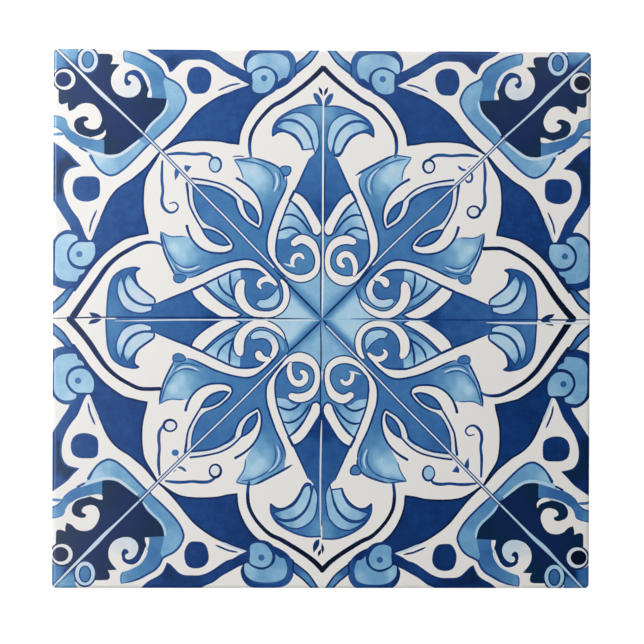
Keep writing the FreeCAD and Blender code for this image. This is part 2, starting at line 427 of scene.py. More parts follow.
shoulder = [(39.8, 9.2), (41.1, 11.3), (42.9, 14.7), (44.6, 18), (45.5, 20.2)]
lip = [(45.5, 20.2), (45.2, 22.4), (44.8, 24.9)]
mouth = [(44.8, 24.9), (43.4, 24), (41.8, 22.9), (40.3, 22.4), (38.2, 22.2)]
upright_bell(
    upright_curls, shoulder[1:], lip, mouth,
    dabs=[(33, 15, 0.54), (34.6, 17.6, 0.44), (36.4, 17, 0.36), (39, 18, 0.22), (41.2, 19.6, 0.19),
          (37.6, 20, 0.28), (41.5, 22, 0.24), (36, 12, 0.54), (38.6, 11.4, 0.48), (43.2, 16.5, 0.42),
          (44.2, 21.5, 0.34), (40.6, 12.6, 0.44)],
    lines=[
        (MID, mouth[::-1], THIN_LINE),
        (BELL_LINE, lip, 0.4),
        (MID, [(44.4, 23.6), (44, 20.8), (43.3, 18.8), (42.2, 16.8), (40.7, 15), (38.7, 14), (36.5, 13.8),
               (34, 14.4)], 0.5),
        (0.2, [(34.6, 13.5), (36.5, 12.9), (38.4, 13.1), (40.1, 14), (41.8, 15.8)], 0.5),
        (0.7, [(34, 13), (36, 12.2), (37.6, 12), (39.1, 12.4), (40.9, 13.9), (42.4, 16)], THIN_LINE),
        (DEEP, shoulder, 0.65),
    ],
)

# Above the hooks the upright bell is rounder, with a button at its shoulder.
shoulder = [(38, 10.9), (39.8, 11.2), (41.3, 12.1), (42.6, 13.9), (43.6, 16.5), (44.5, 19.8)]
lip = [(44.5, 19.8), (44.1, 22.6), (43.9, 25)]
mouth = [(43.9, 25), (42.4, 23.9), (40.4, 22.9), (38.6, 22.4)]
upright_bell(
    upright_hooks, shoulder, lip, mouth,
    dabs=[(33, 15, 0.54), (34.6, 17.6, 0.44), (36.4, 17, 0.36), (38.6, 18, 0.24), (40.6, 19.6, 0.19),
          (37.6, 20, 0.3), (41.6, 22, 0.22), (36, 12, 0.54), (38.6, 11.6, 0.5), (42.6, 16, 0.46),
          (43.4, 21.5, 0.4), (40.6, 12.8, 0.46)],
    lines=[
        (MID, mouth, 0.4),
        (0.68, [(43.8, 24.6), (43.4, 20.9), (42.7, 17.9), (41.6, 15.8), (39.8, 14.3), (38, 13.8),
                (35.6, 14.2)], 0.46),
        (0.17, [(40.4, 13.5, 0.3), (38.6, 12.9, 0.6), (36.8, 13.1, 0.6), (35.2, 13.8, 0.3)], None),
        (0.7, [(40.6, 12.5), (39, 12), (37.2, 12), (35.4, 12.5)], 0.36),
        (BELL_LINE, lip, 0.45),
        (DEEP, shoulder, 0.58),
    ],
    button=[(41.9, 9.2), (42.1, 11.6), (41.3, 12.1), (39.8, 11.1), (39.5, 10.3), (40.4, 9.3)],
)
upper_left_bell = [(-1, 1, True)]
stroke(upper_left_bell, 0.78, [(44.8, 22.3, 0.3), (44.9, 23.8, 0.42), (44.7, 25.4, 0.2)])

# The curls and ribbons
# White ribbons sweep from the eyes out along the arms. They are the bare glaze between two washes, and
# their edges are drawn with the fine brush.

stroke(side_curls, INK, [(9.4, 8.8), (9.7, 7.1), (10.4, 5.3), (11, 4.5)], THIN_LINE)
stroke(side_curls, WHITE,
       [(10.5, 5.6, 0.1), (11.2, 4.4, 0.8), (12.3, 3.3, 1.3), (13.9, 2.2, 1.6), (16.3, 1.3, 1.8),
        (18.7, 1.4, 2), (21.1, 2.8, 2.3), (22.8, 5, 2.6), (23.3, 7.3, 2.7), (23.1, 9, 2.3),
        (22.9, 9.9, 1.6)],
       ink=LINE)
stroke(side_hooks, WHITE,
       [(11.6, 10.7, 0.7), (10.6, 9.2, 1.4), (10.1, 6.7, 1.6), (10.45, 4.55, 1.6), (11.8, 2.6, 1.6),
        (13.95, 1.45, 1.6), (16.7, 1.25, 1.6), (19.5, 1.8, 1.9), (21.8, 3.6, 2.3), (23.1, 6.1, 2.6),
        (23.1, 8.8, 2.4), (22.4, 10.3, 1.6)],
       ink=LINE)
wash(side_hooks, [(13, 7, 0.3), (14, 4, 0.24), (17, 4, 0.26)],
     [(12.4, 8.8), (12, 7.3), (12, 5.3), (13.2, 3.5), (15.2, 2.95), (17.1, 2.95), (18.7, 3.95)],
     [(17.7, 5.3), (15.9, 5.4), (14, 6.7), (12.4, 8.8)], ink=0.3)
stroke(side_curls,
       [(13.2, 8, 0.0), (13.6, 6.2, 0.1), (15, 4.8, 0.2), (19, 4.6, 0.22), (15, 11, 0.0), (18, 14, 0.0)],
       [(17, 13.7, 1), (15.8, 12.7, 1.1), (14.5, 11.3, 1.3), (13.5, 9.7, 1.6), (13.1, 8, 1.7),
        (13.7, 6.1, 1.8), (15.2, 4.7, 1.9), (17.1, 4.3, 2), (18.8, 4.7, 1.8), (19.5, 5.2, 1.2)],
       ink=LINE)
wash(side_curls, WHITE,
     [(15, 12), (16.4, 12.1), (18, 11.6), (18.8, 10.6), (18.8, 9.4), (18, 8.7), (17.1, 8.9), (16.6, 9.6),
      (15.8, 10.4), (14.8, 10.4), (14.2, 11.2)],
     ink=0.35)
stroke(side_hooks, WHITE,
       [(12.9, 9.6, 1.2), (14.1, 10.6, 1.5), (15.7, 11, 1.5), (17.3, 10.4, 1.4), (17.9, 9.3, 1.1),
        (17.2, 8.3, 0.4)],
       ink=0.36)
stroke(side_arms, WHITE,
       [(22, 15, 2), (19, 14.7, 1.6), (17, 13.75, 1.3), (15.6, 12.5, 1.1), (14.8, 11.7, 0.8),
        (14.2, 11, 0.3)])

stroke(upright_curls, WHITE,
       [(21.4, 8.9, 1.7), (22, 6.6, 2.3), (21.2, 3.7, 2.2), (19, 1.9, 1.7), (15.7, 1.35, 1.4),
        (13, 2.1, 1.8), (11.2, 4.2, 2.4), (10.6, 6.8, 2.4), (11.3, 9, 1.7), (12.6, 10.7, 1.1),
        (14.3, 12.15, 1.1), (17, 14, 1.3)],
       ink=LINE)
stroke(upright_hooks, WHITE,
       [(20.8, 8.4, 1.7), (22.1, 6, 2.3), (20.9, 3.2, 2.3), (18.4, 1.8, 1.6), (15.9, 1.4, 1.3),
        (13.3, 2, 1.6), (11.6, 4.1, 1.8), (11.2, 6.7, 1.8), (11.9, 9, 1.4), (13.2, 10.9, 1),
        (15, 12.6, 1.1), (17, 14, 1.3)],
       ink=LINE)
upright_ribbon = [(14.4, 12.4, 1), (16.6, 13.8, 1.3), (19, 14.4, 1.8), (22, 14.3, 1.9)]
stroke(upright_curls, WHITE, [(12.3, 10.3, 0.3), (13.2, 11.3, 0.7), *upright_ribbon])
stroke(upright_hooks, WHITE, [(13.6, 11.6, 0.4), *upright_ribbon])
stroke(upright_curls, WHITE,
       [(12.2, 8.8, 0.8), (14.1, 9.2, 1.4), (16.1, 8.8, 1.5), (17.6, 7.8, 1.6), (18, 6.2, 1.7),
        (17, 4.8, 1.6), (15.4, 4.8, 1.5), (14.6, 5.9, 1.1)],
       ink=THIN_LINE)
stroke(upright_hooks, WHITE,
       [(16.8, 5.4, 0.8), (17.7, 6.2, 1.1), (17.6, 7.5, 1.2), (16.5, 8.4, 1.2), (15.2, 8.5, 1),
        (14.6, 8.3, 0.6)],
       ink=0.3)
stroke(upright_hooks, 0.08, [(14.5, 7.8, 0.5), (14.8, 9.4, 0.55), (15.3, 10.9, 0.15)])

stroke(side_arms, INK, side_ribbon_top, LINE)
stroke(side_arms, INK, side_ribbon_foot, 0.62)
stroke(upright_arms, INK, upright_ribbon_top, LINE)
stroke(upright_curls, INK, upright_ribbon_foot, LINE)
stroke(upright_hooks, INK, [(15.4, 12.3), *upright_ribbon_foot[2:]], LINE)

# The leaves
# A white leaf turns down from the top of each kite. Its eye is painted in, and its stem is a fine
# white line that comes down the edge of the kite and runs on round the leaf.

side_leaf = {
    "back": [(38.1, 25.6, 0.85), (37.6, 23.8, 0.75), (36.6, 21.8, 0.62), (34.8, 19.8, 0.6),
             (32.5, 18.5, 0.6), (29.6, 18, 0.6), (27, 18.2, 0.6), (25.3, 19.1, 0.6), (25, 20.4, 0.6)],
    "rim": [(25, 20.4), (26, 22), (28, 23.8), (30, 24.9), (31.9, 25.5), (33.3, 26.4), (34.7, 28.4),
            (35.7, 30.6), (36.3, 32.8), (36.5, 35), (36.8, 37)],
    "stem": [(26.6, 21.3), (28.4, 23.3), (30.4, 24.5), (32.6, 25.4), (34.1, 26.6), (35.4, 28.5),
             (36.4, 30.8), (36.9, 33.3), (37, 35.6), (37.3, 37.6)],
    "edge": [(38.2, 37.4, 0.75), (37.9, 35.4, 0.75), (37.7, 33.4, 0.6), (37.3, 31.2, 0.55),
             (36.2, 28.8, 0.55), (34.6, 26, 0.55), (33.8, 24.8, 0.5)],
    "eye": [[(33.8, 24.7), (31.9, 24.5), (30, 23.9), (28, 22.6), (26.1, 20.5)],
            [(26.1, 20.5), (27.6, 20.2), (29.6, 20.6), (31.3, 21.4), (32.8, 22.9), (33.8, 24.7)]],
}
upright_leaf = {
    "back": [(38.8, 24.3, 0.8), (37.6, 22.2, 0.7), (36, 20.2, 0.62), (33.6, 18.3, 0.6), (30.4, 17.1, 0.6),
             (27.5, 16.9, 0.6), (25.6, 17.4, 0.6), (24.8, 18, 0.6)],
    "rim": [(24.8, 18), (26.1, 20.1), (27.5, 22), (29.1, 23.3), (30.8, 24), (32.7, 24.7), (34.6, 27),
            (36, 29.8), (36.7, 33.4), (37, 36.6)],
    "stem": [(26, 18.6), (27, 20.4), (28.4, 21.9), (30.2, 22.9), (32, 23.3), (33.4, 23.9), (34.6, 25.3),
             (36, 27.8), (37, 30.6), (37.5, 34.2), (37.8, 37.4)],
    "edge": [(38.6, 36.8, 0.6), (38.3, 34, 0.6), (37.8, 31.2, 0.55), (37, 28.2, 0.55), (35.7, 25.7, 0.55),
             (34.1, 23.8, 0.55), (32.8, 22.6, 0.5)],
    "eye": [[(32.8, 22.5), (30, 21.8), (28, 20.6), (26.2, 18.2)],
            [(26.2, 18.2), (27.9, 18.1), (30.1, 19), (31.9, 20.8), (32.8, 22.5)]],
}
for where, leaf in ((side_arms, side_leaf), (upright_arms, upright_leaf)):
    back = [point[:2] for point in leaf["back"]]
    wash(where, WHITE, back, leaf["rim"][:5])
    stroke(where, INK, leaf["rim"], LINE, blunt=True)
    stroke(where, MILK * 0.5, leaf["stem"], 0.85, blunt=True)
    wash(where, MID, *leaf["eye"], ink=LINE)
    stroke(where, INK, leaf["edge"])
    stroke(where, INK, leaf["back"])

# The petals
# The white ground between the kites and the outer triangles. Each petal has one line that runs down
# from the diagonal and ends in a loop, and a bud by the tip of the kite.

STEM_LINE = 0.78
petal_stem = [
    (45.2, 43.6, 0.6), (45.5, 40.8, 0.9), (45.5, 38.6, 0.85), (45.3, 36.1, 0.8), (45.5, 33.4, 0.95),
]
for where in (side_curls, upright_curls):
    stroke(where, STEM_LINE, [*petal_stem, (45.3, 31.4, 0.9), (44.2, 29.6, 0.6)])
    wash(where, 0.88, ring((42.4, 29.7), 2.1, 1.9))
    wash(where, MILK * 0.6, ring((42.3, 29.8), 1.45, 1.28))
stroke(side_hooks, STEM_LINE,
       [(45, 43.4, 0.6), (45.1, 38.3, 0.85), (44.8, 35, 0.8), (45.1, 32.4, 0.95), (44.5, 30.4, 0.9),
        (42.8, 29.1, 0.7), (41.1, 29.6, 0.55), (40.5, 30.8, 0.5), (41.4, 31.9, 0.45), (43, 31.6, 0.3)])
stroke(upright_hooks, STEM_LINE, [*petal_stem, (45.1, 31.6, 0.8), (44.4, 31, 0.6)])
wash(upright_hooks, DEEP, ring((42.5, 30.2), 2.3, 1.9))
wash(upright_hooks, PALE, ring((42.4, 30.3), 1.75, 1.4))

# The buds, no two pairs of them alike.
upper_right_side = [(1, 1, False)]
lower_left_side = [(-1, -1, False)]
stroke(upper_right_side, 0.72, [(41.5, 41), (41.9, 39.4), (41.4, 38.2), (40.5, 38.1), (40, 38.7)], 0.7)
stroke(lower_left_side, 0.7, [(40, 39), (40.4, 38)], 0.5)
wash(lower_left_side, MID, ring((40.9, 37.3), 1, 0.9))
wash(side_hooks, 0.72, [(41, 42), (41.6, 40.4), (41.4, 38)],
     [(41.4, 38), (40.4, 39.6), (40.4, 41), (41, 42)])
stroke(upright_curls, 0.74, [(42.5, 37.9), (41.5, 39.1), (41.4, 40.2)], 0.75)
stroke(upright_curls, 0.74, [(42.7, 41.4), (41.9, 40.6)], 0.6)
wash(upright_hooks, 0.74, [(42, 36.8), (42.3, 38.7)], [(42.3, 38.7), (41.4, 38.9), (40.2, 38.1)])

# The outer triangles
# Concave fields of full cobalt, laid on in two coats, so the brush marks of the second show. Each
# runs on as a dark foot round the button at the edge of the tile.

side_arch = [
    (48.9, 23.3), (50.6, 23), (53, 22.4), (55.2, 21.8), (57.8, 20.2), (60.4, 18.2), (62.5, 16.1),
    (64.8, 13.4), (66.9, 10.4), (69.2, 7.4),
]
upright_arch = [
    (48.3, 23.8), (50.9, 23.5), (53.3, 22.7), (56.1, 21.3), (58.6, 19.6), (60.7, 17.6), (62.2, 15.3),
    (64, 12.9), (65.4, 10.5), (67.4, 8),
]
triangle_dabs = [(50, 38, 0.82), (56, 30, 0.825), (60, 22, 0.84), (66, 12, 0.9), (70, 8, 0.88)]
wash(side_arms, triangle_dabs,
     [(45.7, 45.8), (46.7, 43.9), (47.9, 41.9), (49, 40.1), (49.7, 38.5), (50.1, 36.4), (50.3, 33.9),
      (50.3, 31.4), (50.1, 28.9), (49.7, 26.9), (49.1, 24.6), (48.9, 23.3)],
     side_arch,
     [(69.2, 7.4), (71.4, 7.7), (69, 9.8), (67, 11.6), (65.2, 14.4), (63.8, 17), (64, 19.4),
      (64.7, 20.8)],
     [(64.7, 20.8), (64.1, 22.6), (62.9, 25.5), (61.6, 28.3), (60.4, 31.1), (59.1, 33.4), (57.6, 35.2),
      (56, 36.5), (53.7, 37.9), (51.6, 39.6), (49.4, 41.5), (47, 44.3), (45.7, 45.8)],
     ink=LINE, ink_cobalt=NAVY)


def bowed(eighth, points, low, high, most):
    """Points along an upright arch. Below the middle of the tile the arches bow further out."""
    if eighth[1] > 0:
        return points
    shares = [min(max((point[0] - low) / (high - low), 0), 1) for point in points]
    return [(x + most * math.sin(math.pi * share), *rest) for (x, *rest), share in zip(points, shares)]


TRIANGLE_BOW = (46, 65, 1.4)
upright_side = [
    (45.7, 45.6), (46.7, 43.9), (47.9, 41.7), (48.8, 39.2), (49.2, 36), (49.25, 32.6), (49.05, 28.9),
    (48.6, 26.6), (48.3, 23.8),
]
for eighth in upright_arms:
    wash([eighth], triangle_dabs, bowed(eighth, upright_side, *TRIANGLE_BOW),
         bowed(eighth, upright_arch, *TRIANGLE_BOW),
         [(67.4, 8), (69.4, 8), (67.6, 9.8), (66, 11.6), (64, 14.4), (62.4, 17), (62.6, 19.4),
          (64.5, 20.4)],
         [(64.5, 20.4), (63.7, 23.4), (62, 27.5), (60.9, 29.8), (59.6, 31.9), (57.7, 34.5), (56, 36.3),
          (54.2, 37.8), (52, 39.5), (49.5, 41.6), (47.1, 44), (45.7, 45.6)],
         ink=LINE, ink_cobalt=NAVY)

# The arches
# A white band frames each arm and comes to a point at the edge of the tile. A tapering navy line is
# drawn inside it. In its head lies a crescent leaf with two pale ribs and a sprig.

stroke(side_curls, [(45, 19.4, 0.95), (60, 14, 0.96), (70, 1, 1.0)],
       [(45.1, 19.5, 1.1), (48.2, 19.6, 1.1), (51, 19.4, 1.1), (54.1, 18, 1.1), (57.2, 16.1, 1.15),
        (60, 13.6, 1.3), (62.5, 10.3, 1.5), (64.9, 6.7, 1.6), (67.7, 3.2, 1.7), (70.6, 0, 1.9)])
stroke(side_hooks, [(44.4, 19.6, 0.66), (46, 20.6, 0.74), (49, 20.6, 0.9), (57, 17, 0.96), (70, 1, 1.0)],
       [(44.4, 19.4, 0.4), (45.6, 20.4, 0.7), (47.8, 20.8, 0.9), (50.4, 20.5, 1.05), (53.5, 19, 1.15),
        (57.1, 16.8, 1.2), (60.2, 13.9, 1.35), (63, 10, 1.5), (66.1, 5.6, 1.65), (69.8, 0.3, 1.9)])
BAND_BOW = (42, 67, 1.5)
upright_line = [
    (44.8, 20.3, 0.8), (46.4, 20.6, 0.9), (48.1, 20.7, 1), (50.9, 20.3, 1.05), (53.7, 18.9, 1),
    (56.5, 16.7, 1.05), (58.9, 14.2, 1.15), (60.3, 11.5, 1.25), (62.2, 8.7, 1.3), (64.8, 5.2, 1.3),
    (67.5, 2.1, 1.4), (69.6, 0, 1.5),
]
for eighth in upright_arms:
    stroke([eighth],
           [(44.5, 20.6, 0.62), (46.5, 20.7, 0.82), (51, 20.4, 0.95), (57, 16, 0.96), (69, 1, 1.0)],
           bowed(eighth, upright_line, *BAND_BOW))


def crescent(where, tones, back, front, foot, ribs):
    """A crescent leaf: its wash, the lines of its back and front, and its pale ribs with their tones."""
    wash(where, tones, back, front, foot)
    stroke(where, 0.8, back, 0.5, blunt=True)
    stroke(where, INK, front, LINE, blunt=True)
    for rib_tones, edges in ribs:
        wash(where, rib_tones, *edges, ink=THIN_LINE, ink_cobalt=0.8, grown=THIN_LINE / 2)


crescent(
    side_arms,
    tones=[(52.6, 12.8, 0.76), (56, 12, 0.72), (58, 8, 0.66), (59.2, 3, 0.6), (52, 1, 0.68), (47, 1, 0.72)],
    back=[(60.3, 0.2), (60.1, 4.3), (59.6, 8.5), (58.4, 11.2), (56, 13), (54, 13.6), (52.3, 13.8),
          (51.1, 13.5)],
    front=[(51.1, 13.5), (52.3, 12.6), (52.3, 10.9), (51.4, 8.8), (49.3, 7.1), (47, 5.3), (46.8, 4.4)],
    foot=[(46.8, 4.4), (47.6, 0.2)],
    ribs=[
        ([(54.3, 11.5, 0.44), (53.8, 9.6, 0.23), (52, 6.4, 0.18), (48, 4.6, 0.2)],
         [[(54.3, 11.8), (53.1, 10.2), (51.5, 8.3), (49.4, 6.7), (47.2, 5.2)],
          [(47.1, 4.1), (49.7, 4), (52.1, 4.8), (54, 6.5), (55, 8.6), (55.1, 10.2), (54.3, 11.8)]]),
        ([(56.3, 10.8, 0.5), (56.5, 8.9, 0.28), (56, 6, 0.17), (49, 2.4, 0.18)],
         [[(56.3, 11.1), (55.8, 9), (54.8, 6.2), (52.8, 4.3), (50.4, 3.4), (47.8, 3.2)],
          [(47.9, 2.3), (50.4, 1.6), (53.2, 2), (55.3, 3.2), (56.6, 5.3), (57.2, 7.4), (57, 9.4),
           (56.3, 11.1)]]),
    ],
)

# The crescents of the upright arms reach out further below than above. Those of the curls end in a
# round rib, and those of the hooks in a rib that is cut off square.
CRESCENT_FOOT = 47
crescent_reach = {(1, 1): (1.0, 0.0), (-1, 1): (1.02, 0.0), (1, -1): (1.15, 0.0), (-1, -1): (1.075, 0.8)}
round_front = [
    (50.5, 14.3), (51.6, 12.6), (51.6, 10.5), (50.2, 8), (48.1, 6.3), (46, 5.2), (45.1, 4.2), (45.4, 3),
]
square_front = [(50.5, 14.3), (51.6, 12.6), (51.6, 10.5), (50.2, 8), (48.3, 6.4), (46.8, 5.8)]
round_rib = [
    [(52.9, 13.2), (53.9, 12), (54.4, 10.3), (54, 7.7), (52.2, 5.2), (49.8, 3.8), (47.4, 3.2), (45.8, 3.5)],
    [(45.8, 3.5), (46.2, 4.6), (48.5, 5.9), (50.8, 7.6), (52, 10.1), (52.9, 13.2)],
]
square_rib = [
    [(52.9, 13.2), (53.9, 12), (54.4, 10.3), (54, 7.7), (52.2, 5.2), (49.8, 3.8), (47.3, 3)],
    [(47, 5.5), (48.6, 6), (50.8, 7.6), (52, 10.1), (52.9, 13.2)],
]
far_rib = [
    [(54.5, 12.8), (55.8, 10.5), (56.7, 7.7), (56.1, 4.9), (54, 2.4), (50.9, 1.5), (48.1, 1.4),
     (46.2, 2.2)],
    [(46.2, 2.2), (48.1, 2.7), (50.5, 3.3), (52.9, 4.8), (54.8, 7.4), (55.2, 10.3), (54.5, 12.8)],
]
for eighth in upright_arms:
    stretch, out = crescent_reach[eighth[:2]]

    def reached(points):
        """Points of the crescent, drawn out along the arm from its foot."""
        return [(CRESCENT_FOOT + (x - CRESCENT_FOOT) * stretch + out, *rest) for x, *rest in points]

    rounded = eighth in upright_curls
    near_rib = round_rib if rounded else square_rib
    crescent(
        [eighth],
        tones=reached([(52, 13.8, 0.76), (55, 12, 0.72), (57.6, 6, 0.6), (57.4, 1, 0.46), (50, 0.8, 0.62),
                       (46.5, 1, 0.7)]),
        back=reached([(58.9, 0.2), (58.9, 4.2), (57.7, 8.4), (55.8, 11.9), (54.4, 13.3), (52.6, 14.2),
                      (50.5, 14.3)]),
        front=reached(round_front if rounded else square_front),
        foot=reached([(45.4, 3), (46.2, 0.2)] if rounded else [(46.8, 5.8), (46.9, 2.9), (46.2, 0.2)]),
        ribs=[
            (reached([(53, 12.8, 0.46), (53.4, 10.4, 0.3), (51, 6, 0.22), (47, 4, 0.24)]),
             [reached(edge) for edge in near_rib]),
            (reached([(54.7, 12.2, 0.52), (55.8, 9.8, 0.34), (55, 6, 0.25), (47, 2.2, 0.28)]),
             [reached(edge) for edge in far_rib]),
        ],
    )

# The sprigs
wash(side_arms, 0.9, [(61.4, 0.2), (62.8, 1.2), (64, 1.5), (65.2, 1.6)],
     [(65.2, 1.6), (64.6, 0.6), (63, 0.1), (61.4, 0.2)])
upper_arms = [eighth for eighth in upright_arms if eighth[1] > 0]
lower_right_arm = [(1, -1, True)]
lower_left_arm = [(-1, -1, True)]
wash(upper_arms, 0.76, [(59.1, 0.4), (60.6, 0.5), (62.2, 1.6), (62.5, 2.8), (61, 2.6), (59.6, 1.7)])
wash(upper_arms, 0.95, [(61.7, 0.2), (63.4, 0.4), (64.3, 1.4)], [(64.3, 1.4), (62.8, 1.1), (61.7, 0.2)])
wash(lower_right_arm, 0.85, [(61.8, 0.1), (63.4, 0.8), (65, 0.3)], [(65, 0.3), (63.4, -0.1), (61.8, 0.1)])
wash(lower_left_arm, INK, [(61.3, 0.6), (63, 0.7), (65.2, 2.2)],
     [(65.2, 2.2), (63.2, 2.4), (61.8, 1.7), (61.3, 0.6)])
wash(lower_left_arm, 0.95, [(64.1, 0.1), (65.4, 0.2), (66.2, 0.9)], [(66.2, 0.9), (65, 1), (64.1, 0.1)])

# The straps, drops and buttons
# Along the edge of the tile, a navy strap frames a white drop with a square cobalt dot. A round button
# with a dot sits at the foot of it, in a pale shell.

for where, left, foot in (
    (side_arms, 0.0, [(62.2, 27.9), (63.4, 25.3), (64.5, 22.4), (65, 21)]),
    (upright_arms, -0.2, [(62.2, 28), (63.9, 24), (64.9, 20.8)]),
):
    stroke(where, 0.14, foot, 0.6)
    stroke(where, DEEP, [(63.2 + left, 29.6), (63.9 + left, 28), (64.7 + left, 26), (65.2 + left, 23.4)],
           0.55)
wash(side_arms, [(66, 21.5, 0.84), (72, 30, 0.82), (74, 38, 0.92), (70, 42, 0.9), (74.5, 46, 0.86)],
     [(65.4, 20.4), (66.6, 22.6), (67.4, 24.6), (68.5, 27), (69.9, 28.8), (71.3, 31), (72.3, 33.5),
      (72.7, 35.6), (72.7, 37.7), (72.2, 39.5), (71.1, 40.9), (69.6, 41.5), (68, 41.8)],
     [(68, 41.8), (69.5, 43.2), (71.1, 45), (72.8, 46.3), (74.6, 47.5), (76, 48.5)],
     [(76, 33.3), (74.7, 31.6), (73.5, 29.8), (72.1, 27.6), (70.7, 25.5), (70, 24), (69, 22),
      (67.5, 20.2), (65.4, 20.4)],
     ink=LINE)
wash(upright_arms, [(66, 21.5, 0.84), (71, 29, 0.8), (73.5, 38, 0.86), (70, 42, 0.88), (74, 47, 0.82)],
     [(64.8, 20.4), (66, 23), (67, 24.6), (67.5, 26.2), (68.6, 28), (70, 30), (71.1, 32), (71.7, 34.2),
      (71.7, 36.3), (71.6, 38.4), (71, 39.8), (69.9, 41), (68.5, 42.4), (68.2, 43)],
     [(68.2, 43), (69.3, 43.4), (71, 44.4), (72.1, 45.9), (73.2, 48), (74.2, 49.2), (76, 51)],
     [(76, 35.5), (74.2, 32.8), (73.1, 30.3), (71.4, 28), (69.9, 25.3), (69, 23.7), (68, 21.5), (67, 20),
      (64.8, 20.4)],
     ink=LINE)
wash(side_arms, INK,
     [(62.6, 36.4), (62.8, 37.9), (63.6, 38.5), (65.6, 38.6), (67.6, 38.5), (69, 37.8), (69.6, 36.4),
      (69.6, 34.6), (68.9, 33.1), (67.5, 32.3), (65.5, 32.2), (64.1, 32.6), (62.9, 33.4), (62.6, 34.8)],
     ink=LINE)
wash(upright_arms, INK,
     [(62.4, 36.5), (63.4, 37.4), (65, 38), (67, 37.9), (68.6, 37.2), (69.2, 35.8), (69.1, 34),
      (68.4, 32.6), (67, 31.8), (65, 31.9), (63.3, 32.5), (62.5, 33.4), (62.3, 35)],
     ink=LINE)

wash(side_arms, [(70, 22.6, 0.82), (74.6, 22, 0.88), (67, 12, 0.9), (73, 8.4, 0.82)],
     [(67.6, 20.4), (68.4, 23), (70.2, 23.9), (71.9, 23.9), (73.6, 23), (74.7, 21.9), (76, 20)],
     [(76, 9), (74.6, 8.5), (72.6, 7.9), (70.9, 7.7), (69, 8), (66.6, 11.2), (64.6, 14.4), (65, 18),
      (67.6, 20.4)])
wash(side_arms, [(70, 21.8, 0.28), (72, 20.5, 0.35), (73.5, 15, 0.37), (70, 11, 0.36)],
     [(68.6, 22.2), (69.5, 22.6), (71.6, 22.8), (72.9, 22.4), (74, 21.4), (74.6, 20), (74.7, 16),
      (74.6, 12), (73.7, 10.7), (71.9, 10), (69.8, 9.8), (68.8, 9.8)],
     [(68.8, 9.8), (68.4, 10.2), (68.1, 11.3), (67, 11.9), (66.4, 12.7), (67.5, 16), (68.4, 21),
      (68.6, 22.2)])
wash(side_arms, 0.87,
     [(64.4, 21), (66.6, 21.3), (68.6, 21.1), (70.3, 20), (71.4, 17.9), (71.2, 15.7), (70, 13.9),
      (68.1, 13.1), (66.2, 13.2), (64.6, 14.6), (63.3, 16.6), (63.2, 19)])
wash(side_arms, [(66, 19.5, 0.29), (69.5, 18, 0.35), (67, 14.6, 0.34)],
     [(64.1, 20.5), (66.4, 20.6), (68.4, 20.5), (69.8, 19.4), (70.7, 17.8), (70.6, 16.1), (69.6, 14.7),
      (67.7, 14), (66, 14.2), (64.6, 15.4), (63.7, 17.2), (63.6, 18.9)])
wash(side_arms, 0.68, ring((68, 17.3), 0.9, 0.88))
wash(upright_arms, [(69, 8, 0.72), (73.4, 9, 0.74), (74.2, 16, 0.72), (71, 22.4, 0.86), (66, 12, 0.86)],
     [(66, 9), (69, 7.9), (71.5, 7.9), (73.5, 9), (74.6, 10.8), (75, 15), (74.6, 20), (72.6, 22),
      (70.1, 22.6), (68, 21.8), (64, 20.6), (62.6, 17.6), (63.4, 13)])
wash(upright_arms, [(72, 11, 0.32), (71, 16, 0.37), (70, 21, 0.28), (67.5, 11, 0.39)],
     [(68, 9.9), (69.7, 9.6), (72, 10.3), (73, 11.9), (73.4, 14.7), (73.2, 18.1), (72.3, 20.2),
      (70.8, 21.4), (68.5, 21.6)],
     [(68.5, 21.6), (68, 21), (68.6, 19), (67.6, 15), (65.5, 12.9)],
     [(65.5, 12.9), (66.6, 11.5), (66.7, 10.5), (68, 9.9)])
wash(upright_arms, INK,
     [(62, 15), (63.6, 13.2), (65.5, 12.9), (67.6, 13.1), (69.2, 14.6), (69.9, 16.7), (69.3, 18.9),
      (68.1, 20.4), (65, 20.5), (62.4, 20), (61.6, 17.6)])
wash(upright_arms, [(68, 17.5, 0.31), (65, 15, 0.36), (63.5, 19, 0.36)],
     [(67.9, 20), (65.5, 19.95), (63.2, 19.9), (62.5, 18.8), (62.4, 17.1), (63.1, 15.4), (65.1, 14),
      (66.9, 13.8), (68.5, 14.7), (69.2, 16.4), (68.8, 18.5)])
wash(upright_arms, 0.67, ring((66.5, 16.8), 0.88, 0.9))
wash(side_arms, [(70.5, 6.8, 0.7), (73, 4.5, 0.58), (76, 2, 0.62)],
     [(69, 8.4), (71, 8), (72.7, 6.3), (74.7, 4.5), (76.6, 3)],
     [(76.6, 0.4), (74.7, 1.8), (72.2, 3.9), (70.5, 6.2), (69, 8.4)], ink=0.55, ink_cobalt=0.9)
wash(upright_arms, [(69.5, 7, 0.68), (72, 4, 0.5), (76, 2, 0.56)],
     [(67.8, 7.8), (70.1, 7.9), (72.4, 5.3), (74.6, 3.1), (76.6, 1.4)],
     [(76.6, 0.1), (74.6, 1.2), (71.2, 3.6), (69.2, 5.9), (67.8, 7.8)], ink=0.5, ink_cobalt=0.88)

# The corner cartouches
# In each corner a field of the deepest blue, nearly black, shows a white scroll. A sky-blue band with
# a pale lip frames it, and a white ring lies by the point of the corner.

